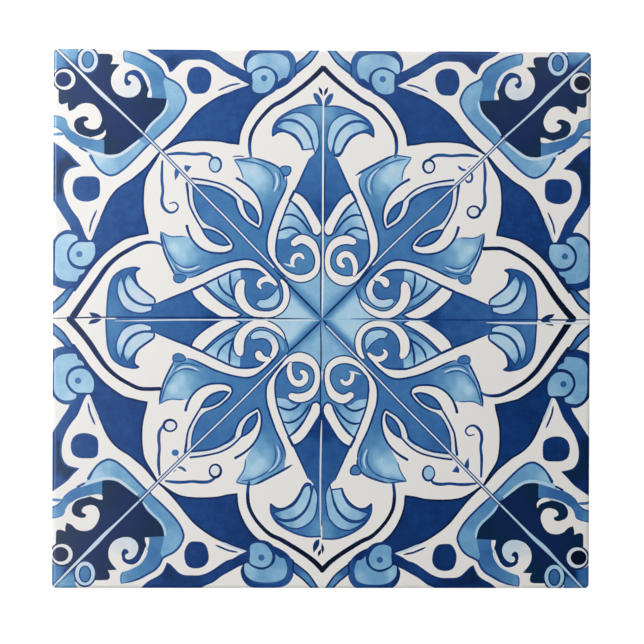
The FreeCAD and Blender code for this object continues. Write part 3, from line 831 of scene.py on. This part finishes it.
side_band = [
    (47.6, 48.9), (48.6, 48.1), (50.4, 46.3), (52.5, 44.1), (54.6, 42), (56.4, 40.5), (57.8, 39.6),
    (59.5, 39.2), (61, 39.7), (62.5, 40.8), (63.8, 42.4), (64.6, 43.8), (65.1, 44.7),
]
upright_band = [
    (47.6, 49.2), (48.6, 48), (50.4, 46), (52.5, 43.8), (54.75, 41.6), (57.1, 39.8), (59.1, 38.8),
    (60.6, 38.5), (62.2, 39), (64, 40.1), (65.3, 41.7), (66, 43.2), (66.7, 44.3), (68.5, 45.2),
    (70, 46.6), (71.1, 48.5), (72.2, 50.5), (73.2, 53.2), (73.7, 55.9),
]
wash(side_arms, [(50, 48, 0.4), (56, 43, 0.4), (60, 41, 0.35), (63, 44, 0.26)], side_band,
     [(65.1, 44.7), (66.6, 46.6), (62, 50), (50, 52), (47.6, 48.9)])
stroke(side_arms, 0.78, [(*point, 0.85 if point[0] > 64 else 0.62) for point in side_band])
stroke(side_arms, 0.16,
       [(50.4, 49.8), (52, 48.6), (53.7, 47.2), (55.3, 45.9), (57, 44.9), (58.5, 44.5), (60, 44.5),
        (62, 44.8), (64, 45.4), (66, 46.3)],
       0.85)
wash(upright_arms, [(50, 48, 0.48), (56, 43, 0.45), (60, 40.5, 0.38), (64, 43, 0.37)], upright_band[:14],
     [(68.5, 45.2), (62, 50), (50, 52), (47.6, 49.2)])
wash(upright_arms, [(62, 46, 0.58), (66, 47, 0.62), (70, 49, 0.56), (72, 53, 0.5), (73, 55.5, 0.4)],
     [(60.6, 43.9), (62.7, 44.3), (65.2, 44.9)], upright_band[12:],
     [(73.7, 55.9), (71.4, 55.8), (70.6, 55.6)],
     [(70.6, 55.6), (69.7, 53), (68.6, 51), (66.6, 49.2), (64.3, 48.4), (60.7, 48)])
stroke(upright_arms, 0.78, upright_band, 0.6)
stroke(upright_arms, MID, [(73.7, 55.9), (71.6, 55.9), (70.5, 55.4)], 0.4)
stroke(upright_arms, 0.2,
       [(50.9, 50), (53, 48.5), (54.7, 46.9), (55.9, 45.5), (57.4, 44.4), (59, 43.8), (60.4, 43.6)], 0.8)
wash(side_arms, [(62, 47, 0.56), (66, 48, 0.63), (70, 49, 0.66), (73, 53, 0.58), (75, 54.4, 0.48)],
     [(61.2, 45.2), (64, 45.9), (66.4, 46.7), (68.2, 47), (69.7, 47.7), (71, 48.6), (72, 50), (73, 51.5),
      (74.6, 52.4), (76.6, 52.8)],
     [(76.6, 55.8), (74.7, 55.3), (71.8, 54.5), (71.4, 53.2), (70.5, 51.7), (69, 50.8), (67.1, 49.9),
      (64.9, 49.2), (61.2, 49)])
stroke(side_arms, INK, [(65.9, 45.7), (67, 46.3), (68.3, 46.9)], 0.6)
stroke(side_arms, 0.72, [(71.4, 49), (72.6, 51), (74.2, 52.2), (76.6, 52.8)], THIN_LINE)
stroke(side_arms, 0.6, [(72.4, 50.5), (74.2, 50.5), (76.6, 50.1)], 0.8)
stroke(side_arms, 0.7, [(71.9, 54.6), (73.4, 55.2), (76, 55.7)], 0.35)

# The dark fields, with the scroll left bare.
side_field = [
    (52, 50, 0.93), (58, 47, 0.94), (58, 55, 0.9), (60, 50, 0.94), (66, 62, 0.92), (72, 61, 0.94),
    (66, 50.5, 0.95),
]
upright_field = [
    (52, 50, 0.94), (59, 46, 0.95), (58, 54, 0.91), (62, 50, 0.9), (67, 53, 0.84), (66, 62, 0.92),
    (71, 61, 0.92),
]
wash(side_arms, side_field,
     [(49.6, 50.6), (50.9, 49.8), (52.2, 48.8), (53.9, 47.5), (55.6, 46.2), (57.1, 45.3), (58.5, 45),
      (60, 44.9), (61.2, 45.1)],
     [(61.2, 49), (65, 49.3), (67.2, 50), (68.7, 51), (69.5, 52.3), (69.6, 53.6), (69, 54.7), (68, 55.2),
      (66.8, 55.5), (65.8, 55.2), (65.6, 54.5), (66.2, 54.2), (66.8, 53.9), (66.8, 53.1), (66.2, 52.4),
      (65.2, 52), (63.9, 51.9), (62.8, 52.4), (62.2, 53.4), (61.9, 54.5), (62.2, 56), (63, 57.5),
      (64.1, 58.6), (65.7, 59.1), (67.3, 59), (68.6, 58.4), (69.6, 57.4), (71, 56.8)],
     [(71, 56.8), (71.4, 58), (71.4, 59.2)],
     [(71.4, 59.2), (72.2, 58.9), (73.3, 58.7), (73.9, 59.2), (74, 60.4), (74, 63)],
     [(74, 63), (75, 67), (73, 70), (74.8, 75)])
wash(upright_arms, upright_field,
     [(49.6, 50.6), (51.4, 49.9), (53.2, 48.8), (54.9, 47.1), (56.1, 45.8), (57.5, 44.7), (59, 44.1),
      (60.6, 43.9)],
     [(60.8, 48.4), (63.2, 49), (66, 50.1), (67.5, 51), (68.4, 52.3), (68.4, 53.5), (67.9, 54.8),
      (66.9, 55.7), (65.5, 55.9), (64.4, 55.6), (63.9, 54.7), (64.6, 53.9), (65.4, 53.7), (65.5, 54.5),
      (66.2, 54.8), (66.9, 54.4), (67, 53.4), (66.2, 52.1), (65.1, 51.4), (63.7, 51.1), (62.3, 51.5),
      (61.4, 52.4), (60.9, 53.5), (60.8, 54.7), (61, 56), (61.8, 57.7), (63.2, 58.9), (64.8, 59.4),
      (66.5, 59.3), (68, 58.6), (69.1, 57.7), (69.9, 57)],
     [(69.9, 57), (70, 58.4), (70, 59.6)],
     [(70, 59.6), (70.9, 59.1), (72.3, 59.1), (72.7, 59.7), (72.8, 61), (72.8, 63)],
     [(72.8, 63), (74, 66), (73, 70), (74.8, 75)])
wash(upright_arms,
     [(62, 55, 0.1), (63.6, 52, 0.1), (66.4, 53, 0.09), (64, 58, 0.07), (66.4, 58.4, 0.0),
      (67.3, 56.4, 0.0)],
     [(61, 56), (60.8, 54.7), (60.9, 53.5), (61.4, 52.4), (62.3, 51.5), (63.7, 51.1), (65.1, 51.4),
      (66.2, 52.1), (66.9, 53.2), (66.2, 54.6), (65.7, 54.7), (65.2, 53.8), (64.5, 54), (64, 54.8),
      (64.5, 55.5), (65.5, 55.8), (67, 55.6), (67.6, 57), (66.5, 58.8), (64.8, 59.1), (63.2, 58.6),
      (61.8, 57.4)])
wash(side_curls, WHITE, [(61.1, 50.4), (62.2, 50.3), (63.8, 49.7), (64.9, 49.4)],
     [(64.9, 49.4), (62.7, 48.9), (61.2, 49.2), (61.1, 50.4)])
wash(side_hooks, WHITE, [(60.9, 51.9), (61.6, 50.9), (62.8, 50.3), (64.9, 49.7)],
     [(64.9, 49.7), (63.4, 49), (61.8, 49.4), (60.8, 50.6), (60.9, 51.9)])
wash(upright_arms, WHITE, [(60.9, 49.3), (62, 49.2), (63.2, 48.8), (64.4, 48.9)],
     [(64.4, 48.9), (63, 48.2), (61, 48.2), (60.9, 49.3)])
stroke(side_arms, MILK, [(64.5, 49.4), (67.2, 50), (69, 50.9), (70.1, 52), (70.4, 53.4)], 0.36)
stroke(upright_arms, MILK, [(63.5, 48.8), (66.4, 49.4), (68, 50.5), (69, 52), (69.6, 53.6)], THIN_LINE)

# The corner points and their rings.
wash(side_arms, [(71, 70.6, 0.9), (73.4, 70.4, 0.62), (74.6, 72, 0.58)],
     [(69.6, 69.9), (71.5, 69), (73.2, 68.9), (76, 67.5)], [(76, 67.5), (76, 76.4)])
wash(upright_arms, [(69.8, 69.4, 0.84), (72, 69.8, 0.5), (74.6, 73, 0.4)],
     [(69, 69.2), (71, 69), (73.2, 68.7), (76, 67.5)], [(76, 67.5), (76, 76.4)])
wash(side_arms, 0.96, ring((72.3, 65.6), 3.5, 3.4))
wash(side_arms, MILK * 0.6, ring((72.3, 65.6), 2.95, 2.88))
wash(side_arms, BLACK, ring((72.7, 65.6), 2.25, 2.05))
wash(upright_arms, 0.86, ring((71, 65.9), 3.75, 3.2))
wash(upright_arms, 0.19, ring((70.95, 65.9), 3.3, 2.75))
wash(upright_arms, 0.62, ring((71.1, 65.9), 2.2, 1.55), ink=0.4)

# The seams
# The painter ruled the face into eighths and left the ruled lines bare. They show as thin white lines
# with a dark edge, and swell where they cross the corner fields.

# Each diagonal as stations: how far out they lie along the middle lines, and how far to the side.
diagonals = {
    (1, 1): [(14.5, 0.75), (18, 0.9), (24, 0.75), (30, 0.5), (36, 0.25), (42, 0.05), (48, 0.1),
             (51, 0.15)],
    (-1, 1): [(14, 0.5), (20, 0.6), (27, 0.8), (33, 0.8), (39, 0.9), (45, 1), (51, 1)],
    (1, -1): [(1.5, 0.6), (8, 0.65), (15, 0.75), (24, 0.95), (33, 0.9), (42, 1.1), (51, 1.2)],
    (-1, -1): [(10, 0.1), (18, 0.2), (27, 0.2), (36, 0), (45, -0.1), (51, 0)],
}
corner_lines = {
    (1, 1): [(51, 0.15), (57, -0.3), (60, -0.4), (63, -0.35), (66, -0.5), (69, -0.6), (74, -0.8),
             (77, -0.8)],
    (-1, 1): [(51, 1), (57, 0.8), (60, 0.6), (63, 0.45), (66, 0.5), (69, 0.5), (74, 0.4), (77, 0.4)],
    (1, -1): [(51, 1.2), (57, 1.2), (60, 1.2), (63, 0.95), (66, 1), (69, 1.1), (74, 1.3), (77, 1.3)],
    (-1, -1): [(51, 0), (57, -0.1), (60, -0.2), (63, -0.1), (66, -0.1), (69, -0.1), (74, 0), (77, 0)],
}
corner_widths = [0.5, 0.6, 0.95, 1.15, 0.8, 0.65, 0.55, 0.5]

# Each quarter of the painting strays outwards a little, across and up. The drift starts near the middle
# and is full at the edge.
QUARTER_DRIFT = {
    (1, 1): (-0.25, 0.42),
    (-1, 1): (-0.28, 0.52),
    (1, -1): (-0.5, 0.65),
    (-1, -1): (-0.05, 0.05),
}
DRIFT_START = 12.0
DRIFT_FULL = 70.0


def drift(places, right, up):
    """How far a quarter of the painting strays outwards from where it should be, at some places."""
    stray = np.minimum(places / DRIFT_START, 1.0) * QUARTER_DRIFT[right, up]
    return stray * np.linalg.norm(places, axis=1)[:, None] / DRIFT_FULL


def on_diagonal(stations, quarter):
    """Places along a ruled diagonal, each given by how far out it lies and how far to the side."""
    places = np.array([(out - side / math.sqrt(2), out + side / math.sqrt(2)) for out, side in stations])
    return places - drift(places, *quarter)


for quarter, stations in diagonals.items():
    where = [(*quarter, False)]
    start, aside = stations[0]
    first_part = [(0.3, 0.1), (start / 2, 0.1), (start, aside - 0.3)]
    stroke(where, NAVY, on_diagonal(first_part, quarter), 0.5)
    stroke(where, MILK, on_diagonal(stations, quarter), THIN_LINE, ink=0.44, ink_cobalt=DEEP, blunt=True)
    corner = np.column_stack([on_diagonal(corner_lines[quarter], quarter), corner_widths])
    stroke(where, 0.16, corner, ink=0.36, ink_cobalt=0.9)

right_arm, left_arm = [(1, 1, False)], [(-1, 1, False)]
top_arm, bottom_arm = [(1, 1, True)], [(1, -1, True)]
stroke(right_arm, 0.3, [(0.5, 0), (5, 0), (12, -0.1), (20, -0.25), (30, -0.4)], 0.3)
stroke(right_arm, INK, [(8, 0.1), (16, 0.1), (25, 0.05), (40, -0.1), (55, 0), (68, 0), (77, 0.1)],
       THIN_LINE)
stroke(right_arm, MILK, [(46, -0.8), (55, -0.9), (65, -0.9), (77, -0.9)], 0.5)
stroke(left_arm, MILK, [(1, -0.4), (8, -0.35), (16, -0.3), (26, -0.3), (40, -0.35), (58, -0.7)], 0.35)
stroke(left_arm, NAVY, [(3, 0.1), (12, 0.1), (20, 0.4), (40, 0.3), (60, 0.3), (77, -0.1)], 0.4)
stroke(top_arm, NAVY, [(1, -0.5), (8, -0.5), (16, -0.45), (24, -0.4)], 0.4)
stroke(top_arm, WHITE, [(0.5, 0), (10, 0.05), (30, 0), (50, 0), (66, 0.05)], 0.45)
stroke(top_arm, NAVY, [(27, 0.5), (35, 0.5), (44, 0.7)], 0.3)
stroke(bottom_arm, NAVY, [(1, -0.5), (10, -0.35), (20, -0.5), (30, -0.45)], 0.4)
stroke(bottom_arm, MILK, [(28, -0.1), (35, -0.3), (45, -0.4), (58, -0.3)], 0.45)

# The glaze
# White tin glaze, poured over the face and rolled down over its edge, then painted and fired. The
# pigment sinks into it, so the face is one smooth glossy skin that ends in a soft lip on the sides.

GLAZE = 0.06  # thickness of the glaze
EDGE_ROUND = 0.8  # rolled edge and corner of the body under it
FACE_CORNER = 0.4
PATTERN_SHIFT = (0.04, 0.1)  # the painter was a little off the middle

low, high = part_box("azulejo_tile")
half_side = high[0] / MM + GLAZE
face_height = high[2] / MM + GLAZE
edge_round = EDGE_ROUND + GLAZE
outer_corner = edge_round + FACE_CORNER
CORNER_POINTS = 9


def tile_outline(inset):
    """The tile's outline, moved in from the side by a distance."""
    corner = outer_corner - inset
    straight = half_side - outer_corner
    loop = []
    for quarter in range(4):
        turn = math.pi / 2 * quarter
        for angle in np.linspace(0, math.pi / 2, CORNER_POINTS):
            x, y = straight + corner * math.cos(angle), straight + corner * math.sin(angle)
            loop.append((x * math.cos(turn) - y * math.sin(turn), x * math.sin(turn) + y * math.cos(turn)))
    return np.array(loop)


def inset_at(x, y):
    """How far a place on the face lies in from the sides."""
    straight = half_side - outer_corner
    across, up = abs(x) - straight, abs(y) - straight
    if across > 0 and up > 0:
        return outer_corner - math.hypot(across, up)
    return outer_corner - max(across, up)


def glaze_height(x, y):
    """Height of the glaze: level, and rolled down at the edge."""
    inset = max(inset_at(x, y), 0.0)
    if inset >= edge_round:
        return face_height
    return face_height - edge_round + math.sqrt(edge_round**2 - (edge_round - inset) ** 2)


def on_tile(eighth, loop):
    """An outline of the painting, turned to its eighth of the face."""
    right, up, stands = eighth
    placed = loop[:, ::-1] if stands else loop
    return (placed + drift(placed, right, up)) * (right, up) + PATTERN_SHIFT


DAB_SIZE = 0.4  # square of the distance over which a dab keeps its own strength
DAB_FADE = 1.5  # how fast it gives way to others beyond


def strength_at(cobalt, eighth, x, y):
    """Strength of the pigment at a place on the tile."""
    if isinstance(cobalt, float):
        return cobalt
    right, up, stands = eighth
    place = np.array([[(x - PATTERN_SHIFT[0]) * right, (y - PATTERN_SHIFT[1]) * up]])
    x, y = (place - drift(place, right, up))[0]
    if stands:
        x, y = y, x
    if callable(cobalt):
        return cobalt(x, y)
    total = weights = 0.0
    for dab_x, dab_y, strength in cobalt:
        weight = 1.0 / ((x - dab_x) ** 2 + (y - dab_y) ** 2 + DAB_SIZE) ** DAB_FADE
        total += weight * strength
        weights += weight
    return total / weights


def inside(loop, places):
    """Which of some places an outline goes round, counting its turns, so that it may cross itself."""
    turns = np.zeros(len(places), int)
    for (x0, y0), (x1, y1) in zip(loop, np.roll(loop, -1, axis=0)):
        left = (x1 - x0) * (places[:, 1] - y0) - (places[:, 0] - x0) * (y1 - y0) > 0
        turns += ((y0 <= places[:, 1]) & (y1 > places[:, 1]) & left).astype(int)
        turns -= ((y1 <= places[:, 1]) & (y0 > places[:, 1]) & ~left).astype(int)
    x, y = loop[:, 0], loop[:, 1]
    own_sense = np.sign((x * np.roll(y, -1) - y * np.roll(x, -1)).sum())
    return turns * own_sense > 0


EDGE_INSETS = [0.0, 0.05, 0.2, 0.45, edge_round]
GRID = 1.6  # between the points of the bare face
FINE_GRID = 0.7  # where a wash runs from one tone to another

shapes = [(on_tile(eighth, loop), eighth, cobalt) for eighth, loop, cobalt in painting]
points, drawn_edges = [], []
for loop in [tile_outline(inset) for inset in EDGE_INSETS] + [loop for loop, _, _ in shapes]:
    first = len(points)
    drawn_edges.extend((first + i, first + (i + 1) % len(loop)) for i in range(len(loop)))
    points.extend(Vector(point) for point in loop)
rows = int(half_side / GRID)
points.extend(
    Vector(((column + 0.5 * (row % 2)) * GRID, row * GRID))
    for row in range(-rows, rows + 1) for column in range(-rows, rows)
)
for loop, _, cobalt in shapes:
    if not isinstance(cobalt, float):
        low_x, low_y, high_x, high_y = *loop.min(axis=0), *loop.max(axis=0)
        across, up = np.meshgrid(np.arange(low_x, high_x, FINE_GRID), np.arange(low_y, high_y, FINE_GRID))
        places = np.column_stack([across.ravel(), up.ravel()])
        points.extend(Vector(place) for place in places[inside(loop, places)])
flat, _, triangles, _, _, _ = delaunay_2d_cdt(points, drawn_edges, [], 0, 1e-5, False)
flat = np.array(flat)
triangles = np.array(triangles)
middles = flat[triangles].mean(axis=1)
on_face = inside(tile_outline(0.0), middles)
triangles, middles = triangles[on_face], middles[on_face]

topmost = np.full(len(triangles), -1)
order = np.argsort(middles[:, 0])
sorted_x = middles[order, 0]
for index, (loop, _, _) in enumerate(shapes):
    near = order[np.searchsorted(sorted_x, loop[:, 0].min()):np.searchsorted(sorted_x, loop[:, 0].max())]
    level = (middles[near, 1] > loop[:, 1].min()) & (middles[near, 1] < loop[:, 1].max())
    near = near[level]
    topmost[near[inside(loop, middles[near])]] = index

corners, strengths = triangles.tolist(), []
for triangle, top in zip(corners, topmost):
    for corner in triangle:
        if top < 0:
            strengths.append(WHITE)
        else:
            _, eighth, cobalt = shapes[top]
            strengths.append(strength_at(cobalt, eighth, *flat[corner]))

used = sorted({corner for triangle in corners for corner in triangle})
number = {corner: index for index, corner in enumerate(used)}
vertices = [(flat[c][0] * MM, flat[c][1] * MM, glaze_height(*flat[c]) * MM) for c in used]
faces = [tuple(number[corner] for corner in triangle) for triangle in corners]

# The lip: the rim of the face, carried down the sides and tucked into the body.
LIP_ROWS = ((1.5, 0.0), (1.8, 0.5))  # how far down and how far in
LIP_WAVES = ((0.15, 700, 0, 1.3), (0.12, 0, 900, 0), (0.09, 2300, 2300, 0))  # height, rates and start
following = {}
edges = {(a, b) for face in faces for a, b in zip(face, face[1:] + face[:1])}
for start, end in edges:
    if (end, start) not in edges:
        following[start] = end
rim = [next(iter(following))]
while following[rim[-1]] != rim[0]:
    rim.append(following[rim[-1]])
lip_rows = [rim]
for drop, tuck in LIP_ROWS:
    shrink = 1 - tuck / half_side
    row = []
    for index in rim:
        x, y, z = vertices[index]
        run = sum(height * math.sin(in_x * x + in_y * y + start) for height, in_x, in_y, start in LIP_WAVES)
        row.append(len(vertices))
        vertices.append((x * shrink, y * shrink, z - (drop + run) * MM))
    lip_rows.append(row)
for upper, lower in zip(lip_rows, lip_rows[1:]):
    for i in range(len(rim)):
        j = (i + 1) % len(rim)
        faces.append((upper[j], upper[i], lower[i], lower[j]))
middle = len(vertices)
vertices.append((0, 0, vertices[lip_rows[-1][0]][2]))
for i in range(len(rim)):
    faces.append((lip_rows[-1][(i + 1) % len(rim)], lip_rows[-1][i], middle))

mesh = bpy.data.meshes.new("painted_glaze")
mesh.from_pydata(vertices, [], faces)
strengths.extend([WHITE] * (len(mesh.loops) - len(strengths)))
mesh.attributes.new("cobalt", "FLOAT", "CORNER").data.foreach_set("value", strengths)
mesh.polygons.foreach_set("use_smooth", [True] * len(mesh.polygons))

# The flat map of the glaze: the face fills it, the lip lies round the face, the underside in a corner.
FACE_SHARE = 0.475
LIP_SHARES = (0.482, 0.489)
UNDERSIDE = (0.002, 0.006)  # its corner of the map: start and width
map_scale = FACE_SHARE / (half_side * MM)
on_map = [(0.5 + map_scale * x, 0.5 + map_scale * y) for x, y, _ in vertices]
for row, share in zip(lip_rows[1:], LIP_SHARES):
    for index, over in zip(row, rim):
        on_map[index] = tuple(0.5 + (place - 0.5) * share / FACE_SHARE for place in on_map[over])
flat_map = mesh.uv_layers.new(name="OFBake")
for face in mesh.polygons:
    hidden = middle in face.vertices
    start, width = UNDERSIDE if hidden else (0.0, 1.0)
    for loop_index, index in zip(face.loop_indices, face.vertices):
        flat_map.uv[loop_index].vector = [start + width * place for place in on_map[index]]
painted_glaze = bpy.data.objects.new("painted_glaze", mesh)
bpy.context.collection.objects.link(painted_glaze)

COBALT_SCALE = [
    (0.0, (0.862, 0.84, 0.813)),
    (0.12, (0.63, 0.725, 0.81)),
    (0.25, (0.385, 0.625, 0.798)),
    (0.40, (0.16, 0.38, 0.61)),
    (0.55, (0.07, 0.235, 0.474)),
    (0.65, (0.036, 0.154, 0.394)),
    (0.73, (0.019, 0.104, 0.316)),
    (0.80, (0.005, 0.06, 0.246)),
    (0.86, (0.0, 0.034, 0.172)),
    (0.92, (0.0, 0.018, 0.098)),
    (1.0, (0.0, 0.005, 0.027)),
]
FIELD_VIOLET = (0.001, 0.019, 0.094)
FIELD_TEAL = (0.0, 0.021, 0.07)
glaze, place, feed = ceramic("painted_glaze", IOR=1.5)
cobalt = place.node("ShaderNodeAttribute", {"attribute_name": "cobalt"}, output="Fac")
mottle = place.noise(350.0, 4.0, 0.6) - 0.5
grain = place.noise(2200.0, 2.0) - 0.5
rightward = place.node("ShaderNodeSeparateXYZ", None, {"Vector": place}, output="X")
upward = place.node("ShaderNodeSeparateXYZ", None, {"Vector": place}, output="Y")

# The paint is made stronger towards the lower right and thinnest along the left edge: painted shade and a
# painted sheen that follow the light from the upper left. Bare glaze stays white.
painted_light_falloff = rightward * 0.5 - upward * 0.5 + rightward.between(-0.076, -0.056) * 0.05 - 0.05
laid = cobalt.between(0.0, 0.15)
colour = (cobalt + laid * (mottle * 0.16 + grain * 0.06 + painted_light_falloff)).ramp(COBALT_SCALE)

# The corner fields turn from violet by the seam to teal away from it.
from_middle = rightward.math("ABSOLUTE")
from_level = upward.math("ABSOLUTE")
from_seam = (from_middle - from_level).math("ABSOLUTE") + mottle * 0.006
field = from_seam.between(0.003, 0.012).ramp([(0.0, FIELD_VIOLET), (1.0, FIELD_TEAL)])
in_corner = (from_middle + from_level).between(0.092, 0.104)
is_field = cobalt.between(0.86, 0.9) * (1.0 - cobalt.between(0.97, 0.99))
colour = colour.mix(field, in_corner * is_field * 0.8)
ripple = place.noise(160.0, 2.0)
feed(
    Base_Color=colour,
    Roughness=grain * 0.06 + 0.16,
    Normal=ripple.node("ShaderNodeBump", None, {"Height": ripple, "Strength": 0.06, "Distance": 0.0004}),
)
mesh.materials.append(glaze)
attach(painted_glaze, "root")

# The studio
# A pale floor under the tile, a broad soft light from the upper left and a camera nearly straight
# above, which leans and rolls by the little that the photograph does.

FLOOR_REACH = 3.0
floor_mesh = bpy.data.meshes.new("floor")
floor_corners = [(FLOOR_REACH * x, FLOOR_REACH * y, 0) for x, y in ((-1, -1), (1, -1), (1, 1), (-1, 1))]
floor_mesh.from_pydata(floor_corners, [], [(0, 1, 2, 3)])
floor = bpy.data.objects.new("floor", floor_mesh)
bpy.context.collection.objects.link(floor)
floor_paint, _, _ = ceramic(
    "floor", Base_Color=(0.9, 0.9, 0.9, 1.0), Roughness=0.9,
    Emission_Color=(1, 1, 1, 1), Emission_Strength=0.75,
)
floor_mesh.materials.append(floor_paint)

# Pale walls round the tile and a dark ceiling, so that the face reflects little to the camera.
world = bpy.data.worlds.new("studio")
bpy.context.scene.world = world
world.use_nodes = True
way = Shade(world.node_tree.nodes.new("ShaderNodeTexCoord").outputs["Generated"])
height = way.node("ShaderNodeSeparateXYZ", None, {"Vector": way}, output="Z")
walls = height.between(0.35, 0.75).ramp([(0.0, (0.09, 0.09, 0.1)), (1.0, (0.006, 0.006, 0.006))])
world.node_tree.links.new(walls.socket, world.node_tree.nodes["Background"].inputs["Color"])


def soft_light(name, place, aim, size, power, lights=True, shows=True):
    """A square soft box that faces a point. It lights the tile, shows in its gloss, or does both."""
    lamp = bpy.data.lights.new(name, "AREA")
    lamp.size = size
    lamp.energy = power
    box = bpy.data.objects.new(name, lamp)
    box.location = place
    box.rotation_euler = (Vector(aim) - Vector(place)).to_track_quat("-Z", "Y").to_euler()
    box.visible_diffuse = lights
    box.visible_glossy = shows
    bpy.context.collection.objects.link(box)


soft_light("key", (-0.30, 0.18, 0.38), (0, 0, 0), 0.25, 1.95)
soft_light("fill", (0, 0, 1.6), (0, 0, 0), 1.2, 10.0, shows=False)
soft_light("left_sheen", (-0.52, 0, 1.1), (-0.52, 0, 0), 0.8, 7.6, lights=False)
soft_light("upper_sheen", (0, 0.56, 1.1), (0, 0.56, 0), 0.8, 3.4, lights=False)

# Sizes in the photograph, in its pixels, and how the camera stood.
TILE_PIXELS = 539.0
PHOTO_PIXELS = 644
PHOTO_MIDDLE = (321.3, 318.5)
PHOTO_ROLL = math.radians(0.23)
LEAN_LEFT = math.radians(2.6)  # how far off straight above
LEAN_UP = math.radians(0.6)
CAMERA_HEIGHT = 1.1
SENSOR = 36.0

lens = bpy.data.cameras.new("camera")
camera = bpy.data.objects.new("camera", lens)
bpy.context.collection.objects.link(camera)
bpy.context.scene.camera = camera
frame_width = 2 * half_side * MM * PHOTO_PIXELS / TILE_PIXELS
camera.location = (-CAMERA_HEIGHT * math.tan(LEAN_LEFT), CAMERA_HEIGHT * math.tan(LEAN_UP), CAMERA_HEIGHT)
camera.rotation_euler = (-LEAN_UP, -LEAN_LEFT, PHOTO_ROLL)
lens.sensor_width = SENSOR
lens.lens = SENSOR * (CAMERA_HEIGHT - face_height * MM) / frame_width
lens.shift_x = (PHOTO_PIXELS / 2 - PHOTO_MIDDLE[0]) / PHOTO_PIXELS
lens.shift_y = (PHOTO_MIDDLE[1] - PHOTO_PIXELS / 2) / PHOTO_PIXELS
lens.clip_start = 0.01
bpy.context.scene.view_settings.view_transform = "Standard"
